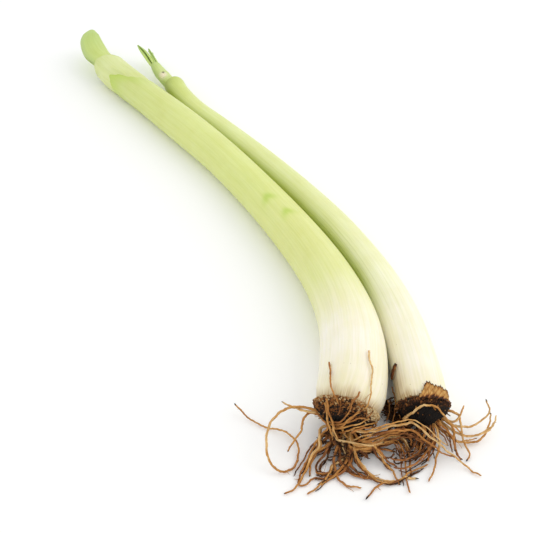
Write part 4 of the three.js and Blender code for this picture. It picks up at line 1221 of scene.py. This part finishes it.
ROOT_SHADES = [(0.0, "f3cf93"), (0.25, "dca55c"), (0.5, "c48746"), (0.75, "a06537"), (1.0, "3d2615")]
root_finish = dry_finish("dried_root", "tone", ROOT_SHADES, 0.22, 1.4)
for name, node, other, roots, dryness_and_shade, plan, below in (
    ("front", "front_roots", back, front_roots, FRONT_DRYNESS_AND_SHADE + CLINGING_DRYNESS, FRONT_COMPANY, FRONT_BELOW),
    ("back", "back_roots", front, back_roots, BACK_DRYNESS_AND_SHADE, BACK_COMPANY, BACK_BELOW),
):
    draw = np.random.default_rng(len(roots))
    heap = Heap()
    for (path, radius), tone in zip(roots, dryness_and_shade):
        laid, radii = root_tube(heap, path, radius, tone, draw, draw.uniform() < STOUT_DARK_TIPS, 8)
        add_rootlets(heap, laid, radii, tone, draw, STOUT_ROOTLETS)
    heap.lay(name + "_stout_roots", root_finish, [node])
    heap = Heap()
    paths = []
    for strand, count in plan:
        for _ in range(count):
            for _ in range(COMPANY_TRIES):
                path = company(roots[strand][0], draw)
                if space_to_stem(other, spots_on(path)).min() > COMPANY_SPACE:
                    radius = draw.uniform(*COMPANY_RADIUS)
                    paths.append((path, radius, dryness_and_shade[strand] + draw.uniform(*COMPANY_DRIER)))
                    break
    for strand in below * BELOW_EACH:
        path = company(roots[strand][0], draw)
        path[:, 2] = np.maximum(path[:, 2] * BELOW_LOWERED, BELOW_LOWEST)
        if space_to_stem(other, spots_on(path)).min() > COMPANY_SPACE:
            paths.append((path, draw.uniform(*BELOW_RADIUS), draw.uniform(*BELOW_DRYNESS_AND_SHADE)))
    if name == "front":
        for strands, thicknesses, tones in (
            (FACE_STRANDS, FACE_RADIUS, FACE_DRYNESS),
            (GAP_STRANDS, GAP_RADIUS, GAP_DRYNESS),
        ):
            for points in strands:
                paths.append((np.array(points, float), draw.uniform(*thicknesses), draw.uniform(*tones)))
    for path, radius, tone in paths:
        laid, radii = root_tube(heap, path, radius, tone, draw, draw.uniform() < THIN_DARK_TIPS, 6)
        add_rootlets(heap, laid, radii, tone, draw, THIN_ROOTLETS * (tone < ROOTLET_DRIEST))
    if name == "front":
        for path, radius in matted_roots(draw):
            root_tube(heap, path, radius, draw.uniform(*MATTED_DRYNESS_AND_SHADE), draw, 0, 5, 0.2)
    heap.lay(name + "_thin_roots", root_finish, [node])

# The torn scrap and the flake of skin.
# What is left of the back leek's oldest leaf: a stiff papery scrap bent over the top of its root end,
# torn to a ragged edge, and a small red-brown flake stuck on its left side, above the gap.
SCRAP_FROM, SCRAP_TO = 30, 108
SCRAP_STOPS = [
    (30, 1.5), (38, 4.2), (47, 3.4), (58, 5.2), (66, 4.2), (74, 5.0), (86, 6.9), (92, 5.6), (99, 1.5),
    (108, -1.0),
]
SCRAP_START = -2.6
SCRAP_LIFT, SCRAP_CURL, SCRAP_THICK = 0.4, 0.7, 0.22
SHEET_ROWS = 40
FLAKE_MIDDLE, FLAKE_HALF = (18, 157), (1.8, 13)


def sheet_on_stem(heap, stem, angle, start, stop, lift, thick, tone):
    """A thin dried sheet over a stem between two distances at each angle, closed round its edge."""
    share = np.linspace(0, 1, SHEET_ROWS)[:, None]
    distance = start + (stop - start) * share
    place = stem.at(distance)
    radius = stem.rounded(distance, angle, place.radius) + lift(distance, angle, share)
    upper = point_round(place, radius + thick, radius + thick, angle)
    lower = point_round(place, radius, radius, angle)
    rings = np.concatenate([upper, lower[:, ::-1]], 1)
    points, faces = skinned_fold(rings)
    both = lambda values: np.concatenate([values, values[:, ::-1]], 1).reshape(-1)
    edge = np.broadcast_to(smooth_step((share - 0.86) / 0.12), distance.shape) * 0.8
    grain = sheath_grain(angle, distance * 4, 14.0)
    grain = np.concatenate([grain, grain[:, ::-1]], 1).reshape(-1, 3)
    heap.add(points, faces, tone=both(tone(distance, angle, share)), tip=both(edge), grain=grain)


scrap_finish = dry_finish("papery_scrap", "tone", [
    (0.0, "d8ab66"), (0.35, "c48d4a"), (0.6, "a3682f"), (0.85, "6a3a1c"), (1.0, "3c2012")], 0.25, 2.4)
heap = Heap()
degrees = np.linspace(SCRAP_FROM, SCRAP_TO, 90)
angle = np.radians(degrees)
marks, reaches = np.array(SCRAP_STOPS, float).T
torn = np.interp(degrees, marks, reaches) + 0.7 * sway(60 * angle, 0, 71) + 0.45 * sway(150 * angle, 0, 72)
rim = back.rim_at(angle)
sheet_on_stem(
    heap, back, angle, rim + SCRAP_START, rim + np.maximum(torn, SCRAP_START + 0.4),
    lambda d, a, share: SCRAP_LIFT + SCRAP_CURL * share**2 + 0.3 * sway(16 * a, d / 2.5, 73),
    SCRAP_THICK,
    lambda d, a, share: np.clip(0.15 + 0.35 * sway(34 * a, d * 1.3, 74) + 0.9 * smooth_step(1 - share / 0.4)
                                + 0.5 * smooth_step((share - 0.75) / 0.25), 0, 1),
)
angle = np.radians(np.linspace(FLAKE_MIDDLE[1] - FLAKE_HALF[1], FLAKE_MIDDLE[1] + FLAKE_HALF[1], 30))
round_off = np.sqrt(np.clip(1 - ((np.degrees(angle) - FLAKE_MIDDLE[1]) / FLAKE_HALF[1]) ** 2, 0.02, 1))
ragged = FLAKE_HALF[0] * round_off * (1 + 0.2 * sway(50 * angle, 0, 75))
slant = (np.degrees(angle) - FLAKE_MIDDLE[1]) * -0.22
sheet_on_stem(
    heap, back, angle, FLAKE_MIDDLE[0] + slant - ragged, FLAKE_MIDDLE[0] + slant + ragged,
    lambda d, a, share: 0.4 + 0.9 * (2 * share - 1) ** 2,
    0.3,
    lambda d, a, share: 0.75 + 0.15 * sway(9 * a, d, 76),
)
heap.lay("back_papery_scrap", scrap_finish, ["back_roots"])

dressed_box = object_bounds()
size = {"cad": [list(corner) for corner in cad_box], "visual": [list(corner) for corner in dressed_box]}
